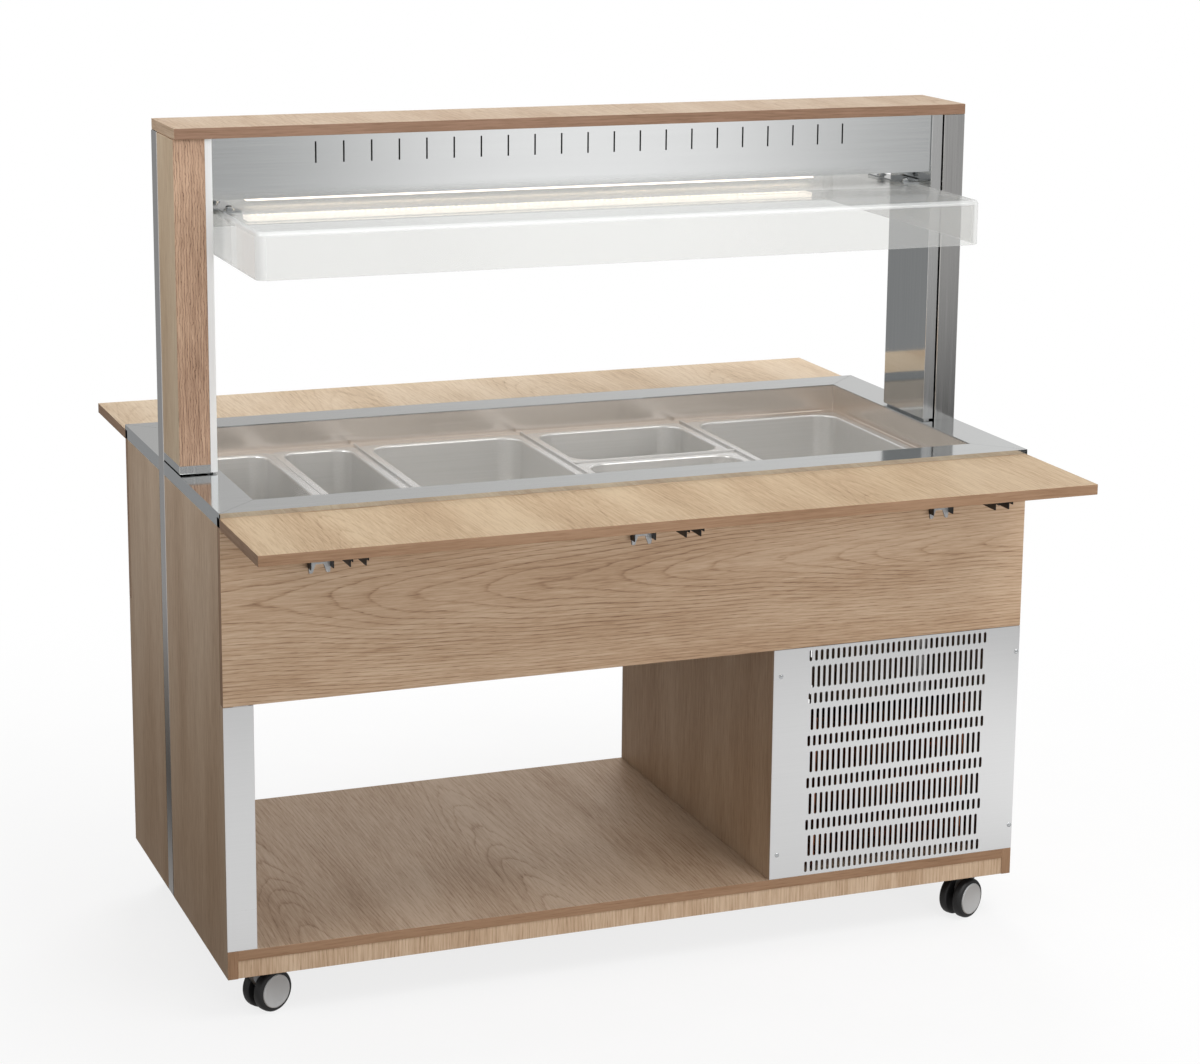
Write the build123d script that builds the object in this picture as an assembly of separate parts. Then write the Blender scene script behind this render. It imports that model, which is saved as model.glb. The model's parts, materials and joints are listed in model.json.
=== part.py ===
from build123d import *
import os
from math import atan2, cos, degrees, hypot, radians, sin

os.makedirs("parts", exist_ok=True)

# A wheeled buffet counter with a recessed well for gastronorm pans, a folding shelf on each long side,
# two posts with a canopy, fascia and light, and a clear hood over the well. Millimetres, +Z up.
# The origin is on the floor under the middle of the cart, X runs along its length and -Y is the front.

# Overall sizes: the length and the depth follow from the pans, the rims and the posts
overall_height = 1500.0
counter_height = 900.0
plinth_height = 32.0
apron_height = 324.0
machine_width = 496.0
body_clearance = 10.0

# Board and sheet thicknesses
board = 18.0
cover_sheet = 1.5
top_sheet = 2.0
post_sheet = 2.0

# Counter top and well
side_skirt = 25.0
front_lip = 8.0
post_margin = 9.0
rim_front = 76.0
well_end_gap = 12.0
well_side_gap = 25.0
ledge_drop = 52.0
ledge_inset_side = 24.0
ledge_inset_front = 32.0
tub_depth = 240.0
tub_wall = 1.5
insulation_side = 30.0
insulation_bottom = 35.0
coil_space = 14.0
coil_passes = 8
coil_pitch = 50.0
coil_end_gap = 60.0
seat_gap = 0.5
through_gap = 0.3

# Drain and its ball valve
drain_bore_radius = 9.0
drain_wall = 3.0
drain_pipe_wall = 2.0
drain_flange_rim = 9.0
drain_flange_thickness = 1.5
drain_spigot_length = 10.0
valve_size = 34.0
valve_height = 30.0
valve_drop = 40.0
valve_ball_radius = 11.0
lever_length = 50.0
lever_width = 12.0
lever_thickness = 5.0
nozzle_end = 85.0

# Gastronorm pans
pan_length = 530.0
pan_width = 325.0
long_pan_gap = 1.0
pan_depth = 150.0
pan_floor_radius = 18.75
pan_sheet = 1.2
pan_flange = 15.0
pan_corner = 42.0
long_pan_corner = 34.0
pan_outer_corner = 16.0
pan_draft = 6.0
bar_gap = 8.0
bar_rib = 4.0
bar_flat = 30.0
bar_flat_thickness = 4.0
bar_proud = 5.0

# Posts, uprights and canopy
post_width = 67.0
post_depth = 166.0
upright_width = 42.0
upright_depth = 40.0
upright_wall = 2.0
upright_groove = 1.5
post_groove = 4.0
post_inner_edge = 12.0
cladding_front = 12.0
post_foot_gap = 3.0
foot_trim = 14.0
foot_inset = 5.0
canopy_thickness = 19.0
canopy_overhang = 4.0
canopy_inset = 2.0

# Fascia and light
fascia_height = 106.0
fascia_setback = 5.0
fascia_return = 14.0
fascia_slots = 21
fascia_slot_pitch = 50.0
fascia_slot_width = 3.0
fascia_slot_height = 37.0
fascia_slot_top = 11.0
light_left_gap = 72.0
light_right_gap = 218.0
light_width = 36.0
light_height = 11.0
light_centre_y = -14.0
light_end_wall = 2.0
light_side_wall = 3.0
diffuser_thickness = 2.0

# Clear hood
hood_drop = 23.0
hood_height = 80.0
hood_depth = 628.0
hood_gap = 17.0
hood_wall = 5.0
hood_corner = 18.0
hood_edge = 8.0
strap_length = 150.0
strap_width = 32.0
strap_thickness = 3.0
strap_inset = 3.0
tongue_width = 70.0
tongue_reach = 38.0
tongue_gap = 1.0
hood_bolt_spacing = 100.0
hood_bolt_radius = 3.0
hood_bolt_tail = 14.0
hood_bolt_head_radius = 6.0
hood_bolt_head_height = 5.0
hood_washer_radius = 9.0
hood_washer_thickness = 1.5
hood_nut_radius = 8.0
hood_nut_height = 10.0

# Folding shelves and brackets
shelf_width = 249.0
shelf_thickness = 18.5
shelf_drop = 9.0
shelf_gap = 1.0
bracket_left_inset = 168.0
bracket_middle = -5.0
bracket_right_inset = 177.0
leg_width = 41.0
leg_height = 82.0
leg_drop = 4.5
leg_depth = 18.0
leg_sheet = 2.0
leg_screw_radius = 5.0
leg_screw_height = 2.5
leg_screw_rise = 7.0
foot_notch_height = 15.0
foot_toe = 5.5
foot_taper = 20.0
pivot_out = 16.0
pivot_under = 16.0
pivot_radius = 4.0
running_gap = 0.05
arm_width = 28.0
arm_sheet = 2.0
arm_start = 6.0
arm_end = 244.0
arm_height = 17.5
arm_tip_height = 6.0
arm_tip_length = 13.0
arm_lobe = 9.0
strut_width = 18.0
strut_height = 10.0
strut_pivot_drop = 60.5
strut_pivot_out = 11.5
strut_pivot_radius = 2.0
strut_reach = 142.0
strut_rise = 50.0

# Cabinet
plinth_setback = 2.0
corner_plate_width = 52.0
corner_plate_return = 30.0

# Grille and rear cover
slot_width = 5.5
slot_pitch = 11.0
slot_columns = 33
short_slot = 20.0
long_slot = 40.0
row_gap = 10.0
screw_head_radius = 4.5
screw_head_height = 2.2
screw_shank_radius = 2.0
screw_slot = 1.0
screw_edge_left = 14.0
screw_edge_right = 6.0
screw_low = 46.0
screw_high = 50.0

# Refrigeration set
compressor_radius = 78.0
compressor_height = 178.0
compressor_inset = 128.0
compressor_y = 130.0
compressor_foot = 16.0
compressor_foot_radius = 11.0
compressor_foot_inset = 15.0
compressor_plate_length = 220.0
compressor_plate_width = 150.0
compressor_plate_thickness = 4.0
compressor_dome = 43.0
compressor_base_radius = 20.0
terminal_length = 44.0
terminal_width = 60.0
terminal_height = 70.0
terminal_rise = 80.0
condenser_width = 300.0
condenser_height = 270.0
condenser_depth = 60.0
condenser_fins = 26
condenser_fin = 1.0
condenser_end_plate = 2.0
condenser_tube_radius = 5.0
condenser_tube_reach = 8.0
condenser_rows = 5
condenser_gap = 22.0
condenser_foot_height = 20.0
condenser_foot_length = 20.0
fan_radius = 104.0
fan_bore_gap = 8.0
fan_hub_radius = 26.0
fan_blade_count = 5
fan_blade_length = 48.0
fan_blade_pitch = 26.0
fan_blade_sheet = 2.0
fan_shaft_radius = 4.0
shroud_sheet = 2.0
shroud_depth = 34.0
blade_setback = 12.0
motor_gap = 14.0
motor_radius = 38.0
motor_length = 60.0
motor_arm = 8.0
pipe_radius = 4.0
pipe_bend = 24.0
pipe_row_y = -60.0
pipe_row_rise = 60.0
pipe_loop_rise = 70.0
drier_radius = 14.0
drier_length = 120.0
drier_gap = 70.0
feed_reach = 60.0

# Controls on the rear cover
control_drop = 48.0
control_room = 80.0
knob_inset = 78.0
knob_radius = 20.0
knob_height = 16.0
knob_flutes = 18
knob_flute_radius = 1.8
knob_shaft_radius = 3.0
knob_shaft_length = 25.0
knob_gap = 1.0
power_switch_inset = 168.0
light_switch_inset = 228.0
rocker_width = 12.0
rocker_height = 20.0
rocker_gap = 0.6
rocker_tip = 7.0
rocker_pivot_depth = 3.0
rocker_pin_radius = 1.5
rocker_pin_reach = 1.6
bezel = 5.0
bezel_proud = 2.0
bezel_depth = 22.0
bezel_floor = 4.0
inlet_inset = 328.0
inlet_width = 48.0
inlet_height = 28.0
inlet_flange = 5.0
inlet_flange_thickness = 3.0
inlet_depth = 24.0
socket_width = 25.0
socket_height = 17.0
socket_depth = 14.0
control_box_depth = 58.0
control_box_half_height = 38.0
control_box_margin = 45.0
control_box_wall = 2.0
fit_gap = 0.2

# Casters
wheel_radius = 37.5
wheel_cap_radius = 29.0
wheel_width = 18.0
wheel_inner = 7.0
wheel_cap_proud = 1.5
tyre_shoulder = 3.0
axle_radius = 4.0
caster_trail = 25.0
caster_end_gap = 15.0
caster_side_gap = 1.0
caster_web = 12.0
web_shoulder = 22.0
web_crown = 6.5
web_foot = 6.0
web_throat = 26.0
web_heel = 20.0
stem_radius = 5.0
swivel_gap = 0.3
fork_head_radius = 19.0
fork_head_height = 9.0
fork_neck_radius = 10.0
fork_boss_radius = 12.0
brake_pin_radius = 2.0
brake_pin_out = 16.0
brake_pin_rise = 4.0
brake_cheek_gap = 0.4
brake_cheek = 2.6
brake_cheek_lug = 3.0
brake_cheek_drop = 1.5
brake_top_rise = 4.5
pedal_start = 24.0
pedal_arm_end = 62.0
pedal_arm_width = 30.0
pedal_arm_sheet = 2.5
pedal_tread_start = 58.0
pedal_tread_end = 78.0
pedal_tread_width = 36.0
pedal_tread_sheet = 6.0
caster_plate_size = 54.0
caster_plate_thickness = 3.0
front_left_angle = 26.0
front_right_angle = 206.0
rear_left_angle = 26.0
rear_right_angle = 206.0

# Positions worked out from the sizes above
well_half_length = 2 * pan_width + 1.5 * bar_gap + well_end_gap
well_half_depth = pan_length / 2 + well_side_gap
half_length = well_half_length + post_margin + post_width
half_depth = well_half_depth + rim_front
side_inner = half_length - board
apron_inner = half_depth - board
body_bottom = 2 * wheel_radius + body_clearance
plinth_top = body_bottom + plinth_height
bay_floor_height = plinth_top + board
apron_bottom = counter_height - front_lip - apron_height
partition_left = half_length - machine_width
machine_left = partition_left + board
ledge_top = counter_height - ledge_drop
ledge_half_length = well_half_length - ledge_inset_side
ledge_half_depth = well_half_depth - ledge_inset_front
tub_floor = counter_height - tub_depth
tub_top = counter_height - top_sheet
casing_floor_top = tub_floor - tub_wall - coil_space
casing_bottom = casing_floor_top - insulation_bottom
drain_x = (machine_left + ledge_half_length) / 2
drain_pipe_radius = drain_bore_radius + drain_pipe_wall
half_pan_length = pan_length / 2
long_pan_width = (pan_width - long_pan_gap) / 2
canopy_bottom = overall_height - canopy_thickness
post_inner = half_length - post_width
post_front = -post_depth / 2
post_rear = post_depth / 2
upright_near = post_rear - upright_depth
upright_inner = half_length - upright_width
fascia_bottom = canopy_bottom - fascia_height
fascia_y = post_depth / 2 - fascia_setback
tray_top = fascia_bottom + cover_sheet + cover_sheet
hood_top = fascia_bottom - hood_drop
hood_half_length = post_inner - hood_gap
hood_half_depth = hood_depth / 2
hood_bottom = hood_top - hood_height
shelf_top = counter_height - shelf_drop
shelf_bottom = shelf_top - shelf_thickness
pivot_y = -half_depth - pivot_out
pivot_z = shelf_bottom - pivot_under
leg_top = shelf_bottom - leg_drop
leg_bottom = leg_top - leg_height
strut_pivot_height = shelf_bottom - strut_pivot_drop
bracket_places = (-half_length + bracket_left_inset, bracket_middle, half_length - bracket_right_inset)
control_height = apron_bottom - control_drop
knob_x = machine_left + knob_inset
power_switch_x = machine_left + power_switch_inset
light_switch_x = machine_left + light_switch_inset
inlet_x = machine_left + inlet_inset
compressor_x = machine_left + compressor_inset
caster_x = side_inner - caster_end_gap - caster_plate_size / 2
caster_y = half_depth - plinth_setback - board - caster_side_gap - caster_plate_size / 2


def block(x0, x1, y0, y1, z0, z1):
    """A box between two corners."""
    return Pos((x0 + x1) / 2, (y0 + y1) / 2, (z0 + z1) / 2) * Box(x1 - x0, y1 - y0, z1 - z0)


def outline_x(points, x0, x1):
    """A prism along X from an outline of (y, z) points."""
    face = Plane.YZ * make_face(Polyline(*points, close=True))
    return Pos(x0, 0, 0) * extrude(face, x1 - x0)


def outline_z(points, z0, z1):
    """A prism along Z from an outline of (x, y) points."""
    face = make_face(Polyline(*points, close=True))
    return Pos(0, 0, z0) * extrude(face, z1 - z0)


def rod_x(radius, x0, x1, y, z):
    """A round bar along X."""
    return Pos((x0 + x1) / 2, y, z) * Rot(0, 90, 0) * Cylinder(radius, x1 - x0)


def rod_y(radius, x, y0, y1, z):
    """A round bar along Y."""
    return Pos(x, (y0 + y1) / 2, z) * Rot(90, 0, 0) * Cylinder(radius, y1 - y0)


def rod_z(radius, x, y, z0, z1):
    """A round bar along Z."""
    return Pos(x, y, (z0 + z1) / 2) * Cylinder(radius, z1 - z0)


def half_turn(shape):
    """The same piece at the opposite end, turned half round the vertical axis."""
    return Rot(0, 0, 180) * shape


def flip_y(shape):
    """The mirror copy of a front piece at the rear."""
    return mirror(shape, about=Plane.XZ)


def write(node, *shapes):
    """Write the solids of one named node."""
    solids = []
    for shape in shapes:
        solids.extend(shape.solids())
    export_step(Compound(children=solids), f"parts/{node}.step")


# Side panels: each side is two boards, parted by a steel upright that stands in the gap between them
def side_board(near, far, edge_near, edge_far):
    sheet_near = cover_sheet if edge_near else 0
    sheet_far = cover_sheet if edge_far else 0
    apron_near = board if edge_near else 0
    apron_far = board if edge_far else 0
    outline = [
        (near, body_bottom),
        (far, body_bottom),
        (far, bay_floor_height),
        (far - sheet_far, bay_floor_height),
        (far - sheet_far, apron_bottom),
        (far - apron_far, apron_bottom),
        (far - apron_far, counter_height - side_skirt),
        (near + apron_near, counter_height - side_skirt),
        (near + apron_near, apron_bottom),
        (near + sheet_near, apron_bottom),
        (near + sheet_near, bay_floor_height),
        (near, bay_floor_height),
    ]
    distinct = [p for i, p in enumerate(outline) if p != outline[i - 1]]
    lower = outline_x(distinct, -half_length, -side_inner)
    upper = block(-half_length + cover_sheet, -side_inner, near + apron_near, far - apron_far,
                  counter_height - side_skirt, tub_top)
    return lower + upper


left_front_board = side_board(-half_depth, upright_near - upright_groove, True, False)
left_rear_board = side_board(post_rear + upright_groove, half_depth, False, True)
write("side_panel_left", left_front_board, left_rear_board)
write("side_panel_right", half_turn(left_front_board), half_turn(left_rear_board))


# Steel uprights: square tubes from the base to the canopy, at diagonally opposite corners of the posts
def upright():
    outer = block(-half_length, -upright_inner, upright_near, post_rear, body_bottom, canopy_bottom)
    inner = block(-half_length + upright_wall, -upright_inner - upright_wall, upright_near + upright_wall,
                  post_rear - upright_wall, body_bottom, canopy_bottom)
    return outer - inner


write("corner_uprights", upright(), half_turn(upright()))

# Apron panels close the front and the rear above the bay, over the edges of the side boards
apron = block(-half_length, half_length, -half_depth, -apron_inner, apron_bottom,
              counter_height - front_lip)
write("front_panel", apron)
write("rear_panel", flip_y(apron))


def upright_notch(z0, z1, gap):
    """Room for both uprights in a board that they pass."""
    notch = block(-half_length - gap, -upright_inner + gap, upright_near - gap, post_rear + gap, z0, z1)
    return notch + half_turn(notch)


# Base board of the bay and the machine compartment, between the side panels, on two plinth rails
base = block(-side_inner, side_inner, -half_depth, half_depth, plinth_top, bay_floor_height)
base -= upright_notch(plinth_top, bay_floor_height, seat_gap)
write("base_board", base)
plinth_front = -half_depth + plinth_setback
rail = block(-side_inner, side_inner, plinth_front, plinth_front + board, body_bottom, plinth_top)
write("plinth_rails", rail, flip_y(rail))


# Partition between the open bay and the machine compartment
def partition():
    edge = half_depth - cover_sheet
    lower = block(partition_left, machine_left, -edge, edge, bay_floor_height, apron_bottom)
    upper = block(partition_left, machine_left, -apron_inner, apron_inner, apron_bottom, casing_bottom)
    return lower + upper


write("partition", partition())


# Slotted covers: rows of upright slots, short and long in turn, the long ones shifted by half a pitch
def slot_outline(x, z, height):
    radius = slot_width / 2
    straight = height / 2 - radius
    right = Line((x + radius, z - straight), (x + radius, z + straight))
    top = ThreePointArc((x + radius, z + straight), (x, z + straight + radius), (x - radius, z + straight))
    left = Line((x - radius, z + straight), (x - radius, z - straight))
    low = ThreePointArc((x - radius, z - straight), (x, z - straight - radius), (x + radius, z - straight))
    return Wire([right, top, left, low])


def row_height(row):
    return short_slot if row % 2 == 0 else long_slot


def slot_field(centre_x, top, rows):
    wires = []
    z = top
    for row in range(rows):
        height = row_height(row)
        count = slot_columns - row % 2
        first = centre_x - (count - 1) / 2 * slot_pitch
        for column in range(count):
            wires.append(slot_outline(first + column * slot_pitch, z - height / 2, height))
        z -= height + row_gap
    return wires


def field_height(rows):
    return sum(row_height(row) for row in range(rows)) + (rows - 1) * row_gap


def rows_within(height):
    rows = 1
    while field_height(rows + 1) <= height:
        rows += 1
    return rows


def plate_with_holes(x0, x1, z0, z1, wires):
    """A sheet in the XZ plane with its outer face at the front of the cabinet."""
    corners = Polyline((x0, z0), (x1, z0), (x1, z1), (x0, z1), close=True)
    face = Face(Wire(corners.edges()), wires)
    plate = extrude(Plane.XZ * face, cover_sheet)
    return Pos(0, -half_depth + cover_sheet, 0) * plate


def round_wire(x, z, radius):
    return Wire([Pos(x, z) * Edge.make_circle(radius)])


def rectangle_wire(x, z, width, height):
    right, top = x + width / 2, z + height / 2
    left, low = x - width / 2, z - height / 2
    return Wire(Polyline((left, low), (right, low), (right, top), (left, top), close=True).edges())


cover_left = partition_left
cover_right = half_length
cover_low = bay_floor_height + seat_gap
cover_high = apron_bottom - seat_gap
cover_centre = (cover_left + cover_right) / 2
screw_places = [(x, z) for x in (cover_left + screw_edge_left, cover_right - screw_edge_right)
                for z in (bay_floor_height + screw_low, apron_bottom - screw_high)]
screw_holes = [round_wire(x, z, screw_shank_radius + through_gap) for x, z in screw_places]
grille_rows = rows_within(cover_high - cover_low)
grille_top = (cover_low + cover_high + field_height(grille_rows)) / 2
grille_wires = slot_field(cover_centre, grille_top, grille_rows)
grille_sheet = plate_with_holes(cover_left, cover_right, cover_low, cover_high, grille_wires + screw_holes)
write("front_grille", grille_sheet)

# Rear cover: the same sheet with fewer rows, and openings for the controls above them
rear_rows = rows_within(control_height - control_room - cover_low - row_gap)
rear_field_top = cover_low + field_height(rear_rows) + row_gap
rear_wires = slot_field(cover_centre, rear_field_top, rear_rows)
rear_wires += [round_wire(knob_x, control_height, knob_shaft_radius + seat_gap)]
rear_wires += [rectangle_wire(x, control_height, rocker_width + 2 * bezel, rocker_height + 2 * bezel)
               for x in (power_switch_x, light_switch_x)]
rear_wires += [rectangle_wire(inlet_x, control_height, inlet_width, inlet_height)]
rear_sheet = plate_with_holes(cover_left, cover_right, cover_low, cover_high, rear_wires + screw_holes)
write("rear_cover", flip_y(rear_sheet))


# Steel corner plates finish the left post of the bay, front and rear, with a return into the bay
def corner_plate():
    right = -half_length + corner_plate_width
    face = block(-half_length, right, -half_depth, -half_depth + cover_sheet, cover_low, cover_high)
    fold = block(right - cover_sheet, right, -half_depth, -half_depth + corner_plate_return,
                 cover_low, cover_high)
    return face + fold


write("corner_plates", corner_plate(), flip_y(corner_plate()))


# Pan-head screws of the two covers, each head on the sheet and its shank through the sheet's hole
def panel_screw(x, z):
    outer = -half_depth
    head = rod_y(screw_head_radius, x, outer - screw_head_height, outer, z)
    head = fillet(head.edges().filter_by(GeomType.CIRCLE).sort_by(Axis.Y)[0], screw_head_height * 0.7)
    slot = block(x - screw_head_radius, x + screw_head_radius, outer - screw_head_height,
                 outer - screw_head_height / 2, z - screw_slot / 2, z + screw_slot / 2)
    return head - slot + rod_y(screw_shank_radius, x, outer, outer + cover_sheet, z)


front_screws = [panel_screw(x, z) for x, z in screw_places]
write("panel_screws", *front_screws, *[flip_y(screw) for screw in front_screws])


# Counter top: one folded sheet with the well opening, turned down at the sides, the front and the rear
def counter_top():
    outer = block(-half_length, half_length, -half_depth, half_depth,
                  counter_height - side_skirt, counter_height)
    inner = block(-half_length + cover_sheet, half_length - cover_sheet, -half_depth - 1, half_depth + 1,
                  counter_height - side_skirt, tub_top)
    lip_room = block(-half_length, half_length, half_depth - cover_sheet, half_depth,
                     counter_height - side_skirt, counter_height - front_lip)
    lip = block(-half_length, half_length, -half_depth, -half_depth + cover_sheet,
                counter_height - front_lip, counter_height)
    opening = block(-well_half_length, well_half_length, -well_half_depth, well_half_depth,
                    counter_height - side_skirt, counter_height)
    skirt_ends = block(-half_length, half_length, apron_inner, half_depth,
                       counter_height - side_skirt, counter_height - front_lip)
    shell = outer - inner + lip + flip_y(lip) - opening - lip_room - flip_y(lip_room)
    shell = shell - skirt_ends - flip_y(skirt_ends)
    return shell - upright_notch(counter_height - side_skirt, counter_height, seat_gap)


write("steel_top", counter_top())


# Well tub: a welded tray that hangs under the counter top, with a ledge for the pan flanges
def well_tub():
    wall = tub_wall
    upper = block(-well_half_length - wall, well_half_length + wall, -well_half_depth - wall,
                  well_half_depth + wall, ledge_top - wall, tub_top)
    upper -= block(-well_half_length, well_half_length, -well_half_depth, well_half_depth,
                   ledge_top, tub_top)
    lower = block(-ledge_half_length - wall, ledge_half_length + wall, -ledge_half_depth - wall,
                  ledge_half_depth + wall, tub_floor - wall, ledge_top)
    hollow = block(-ledge_half_length, ledge_half_length, -ledge_half_depth, ledge_half_depth,
                   tub_floor, ledge_top)
    return upper + lower - hollow - rod_z(drain_bore_radius, drain_x, 0, tub_floor - wall, tub_floor)


write("well_tub", well_tub())


# Insulated casing: a steel-skinned foam tray round the tub, with a pocket under it for the coil
def well_casing():
    gap = seat_gap
    tub_half_length = ledge_half_length + tub_wall
    tub_half_depth = ledge_half_depth + tub_wall
    outer_half_length = tub_half_length + insulation_side
    outer_half_depth = well_half_depth + tub_wall + ledge_inset_front / 2
    shell = block(-outer_half_length, outer_half_length, -outer_half_depth, outer_half_depth,
                  casing_bottom, tub_top - seat_gap)
    shell -= block(-well_half_length - tub_wall - gap, well_half_length + tub_wall + gap,
                   -well_half_depth - tub_wall - gap, well_half_depth + tub_wall + gap,
                   ledge_top - tub_wall, tub_top)
    shell -= block(-tub_half_length - gap, tub_half_length + gap, -tub_half_depth - gap,
                   tub_half_depth + gap, casing_floor_top, ledge_top)
    return shell - rod_z(drain_pipe_radius + gap, drain_x, 0, casing_bottom, casing_floor_top)


write("well_insulation", well_casing())


# Evaporator coil: one serpentine of copper tube in the pocket under the tub floor
def coil():
    reach = ledge_half_length - coil_end_gap
    z = tub_floor - tub_wall - pipe_radius - 2 * seat_gap
    first = -(coil_passes - 1) / 2 * coil_pitch
    points = []
    for index in range(coil_passes):
        y = first + index * coil_pitch
        ends = (-reach, reach)
        start, stop = ends if index % 2 == 0 else ends[::-1]
        points += [(start, y, z), (stop, y, z)]
    path = FilletPolyline(*points, radius=coil_pitch * 0.45)
    start = points[0]
    section = Plane(origin=start, z_dir=(1, 0, 0)) * Circle(pipe_radius)
    return sweep(section, path=path)


write("cooling_coil", coil())


# Drain: a spigot through the tub floor and the casing, with a ball valve below, its lever across: shut
def drain():
    flange_top = tub_floor + drain_flange_thickness
    flange = rod_z(drain_bore_radius + drain_flange_rim, drain_x, 0, tub_floor, flange_top)
    spigot = rod_z(drain_bore_radius - through_gap, drain_x, 0, tub_floor - drain_spigot_length, flange_top)
    valve_z = casing_bottom - valve_drop
    pipe = rod_z(drain_pipe_radius - seat_gap, drain_x, 0, valve_z, tub_floor - tub_wall)
    valve = Pos(drain_x, 0, valve_z) * Box(valve_size, valve_size, valve_height)
    nozzle = rod_z(drain_bore_radius, drain_x, 0, casing_bottom - nozzle_end, valve_z)
    lever_x = drain_x + valve_size / 2 - 4 + lever_length / 2
    lever = Pos(lever_x, 0, valve_z) * Box(lever_length, lever_width, lever_thickness)
    bore_radius = drain_bore_radius - drain_wall
    inlet = rod_z(bore_radius, drain_x, 0, valve_z, flange_top + 1)
    outlet = rod_z(bore_radius, drain_x, 0, casing_bottom - nozzle_end - 1, valve_z)
    ball = Pos(drain_x, 0, valve_z) * Sphere(valve_ball_radius)
    return flange + spigot + pipe + valve + nozzle + lever - inlet - outlet + ball


write("drain_valve", drain())

# Pan columns: four of them, each as wide as a full pan, with a divider bar between two columns
column_pitch = pan_width + bar_gap
columns = [(index - 1.5) * column_pitch for index in range(4)]
flange_bottom = ledge_top
pan_top = ledge_top + pan_sheet


# Gastronorm pan: a drawn basin with rounded corners and a flat flange that rests on the ledge and the bars
def pan(x, y, size_x, size_y, corner):
    basin_x = size_x - 2 * pan_flange
    basin_y = size_y - 2 * pan_flange
    top = Plane.XY.offset(pan_top) * Pos(x, y) * RectangleRounded(basin_x, basin_y, corner)
    low = Plane.XY.offset(pan_top - pan_depth)
    low_face = low * Pos(x, y) * RectangleRounded(basin_x - pan_draft, basin_y - pan_draft,
                                                  corner - pan_draft / 2)
    outer = loft([top.face(), low_face.face()])
    edge_low = outer.faces().sort_by(Axis.Z)[0].edges()
    outer = fillet(edge_low, pan_floor_radius)
    inner_top = Plane.XY.offset(pan_top) * Pos(x, y)
    inner_top = inner_top * RectangleRounded(basin_x - 2 * pan_sheet, basin_y - 2 * pan_sheet,
                                             corner - pan_sheet)
    inner_low = Plane.XY.offset(pan_top - pan_depth + pan_sheet) * Pos(x, y)
    inner_low = inner_low * RectangleRounded(basin_x - pan_draft - 2 * pan_sheet,
                                             basin_y - pan_draft - 2 * pan_sheet,
                                             corner - pan_draft / 2 - pan_sheet)
    inner = loft([inner_top.face(), inner_low.face()])
    inner = fillet(inner.faces().sort_by(Axis.Z)[0].edges(), pan_floor_radius - pan_sheet)
    flange = Plane.XY.offset(flange_bottom) * Pos(x, y) * RectangleRounded(size_x, size_y, pan_outer_corner)
    return outer + extrude(flange, pan_sheet) - inner


half_pan_centre = half_pan_length / 2 + bar_gap / 2
long_pan_centre = pan_width / 4
write("long_pan_left", pan(columns[0] - long_pan_centre, 0, long_pan_width, pan_length, long_pan_corner))
write("long_pan_right", pan(columns[0] + long_pan_centre, 0, long_pan_width, pan_length, long_pan_corner))
write("full_pan_left", pan(columns[1], 0, pan_width, pan_length, pan_corner))
write("half_pan_rear", pan(columns[2], half_pan_centre, pan_width, half_pan_length, pan_corner))
write("half_pan_front", pan(columns[2], -half_pan_centre, pan_width, half_pan_length, pan_corner))
write("full_pan_right", pan(columns[3], 0, pan_width, pan_length, pan_corner))


# Divider bars: a flat between two rows of basins, and a rib between their flanges that rests on the ledge
def long_bar(x):
    flat_reach = ledge_half_depth - seat_gap
    rib_reach = ledge_half_depth + ledge_inset_front / 2
    flat_low = flange_bottom - bar_flat_thickness
    flat = block(x - bar_flat / 2, x + bar_flat / 2, -flat_reach, flat_reach, flat_low, flange_bottom)
    rib = block(x - bar_rib / 2, x + bar_rib / 2, -rib_reach, rib_reach,
                flange_bottom, flange_bottom + bar_proud)
    return flat + rib


def short_bar(x0, x1):
    flat_low = flange_bottom - bar_flat_thickness
    flat_in = bar_flat / 2 + seat_gap
    rib_in = bar_rib / 2 + seat_gap
    flat = block(x0 + flat_in, x1 - flat_in, -bar_flat / 2, bar_flat / 2, flat_low, flange_bottom)
    rib = block(x0 + rib_in, x1 - rib_in, -bar_rib / 2, bar_rib / 2,
                flange_bottom, flange_bottom + bar_proud)
    return flat + rib


bar_places = [(index - 1) * column_pitch for index in range(3)]
write("divider_bars", *[long_bar(x) for x in bar_places], short_bar(bar_places[1], bar_places[2]))


# Posts: a folded steel cover with a mirror inner face, oak cladding on its outer and one broad face,
# and a steel trim under the cladding. The right post is the left one turned half round.
def post_outline():
    shoulder = upright_near - upright_groove
    return [
        (-post_inner, post_front),
        (-post_inner, post_rear),
        (-upright_inner + post_groove, post_rear),
        (-upright_inner + post_groove, shoulder),
        (-side_inner, shoulder),
        (-side_inner, post_front + cladding_front),
        (-post_inner - post_inner_edge, post_front + cladding_front),
        (-post_inner - post_inner_edge, post_front),
    ]


def cladding_outline():
    shoulder = upright_near - upright_groove - upright_groove
    return [
        (-half_length, post_front),
        (-half_length, shoulder),
        (-side_inner, shoulder),
        (-side_inner, post_front + cladding_front),
        (-post_inner - post_inner_edge, post_front + cladding_front),
        (-post_inner - post_inner_edge, post_front),
    ]


strap_bottom = hood_top
slot_low = strap_bottom - tongue_gap
slot_high = strap_bottom + strap_thickness + tongue_gap
post_foot = counter_height + post_foot_gap


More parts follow.
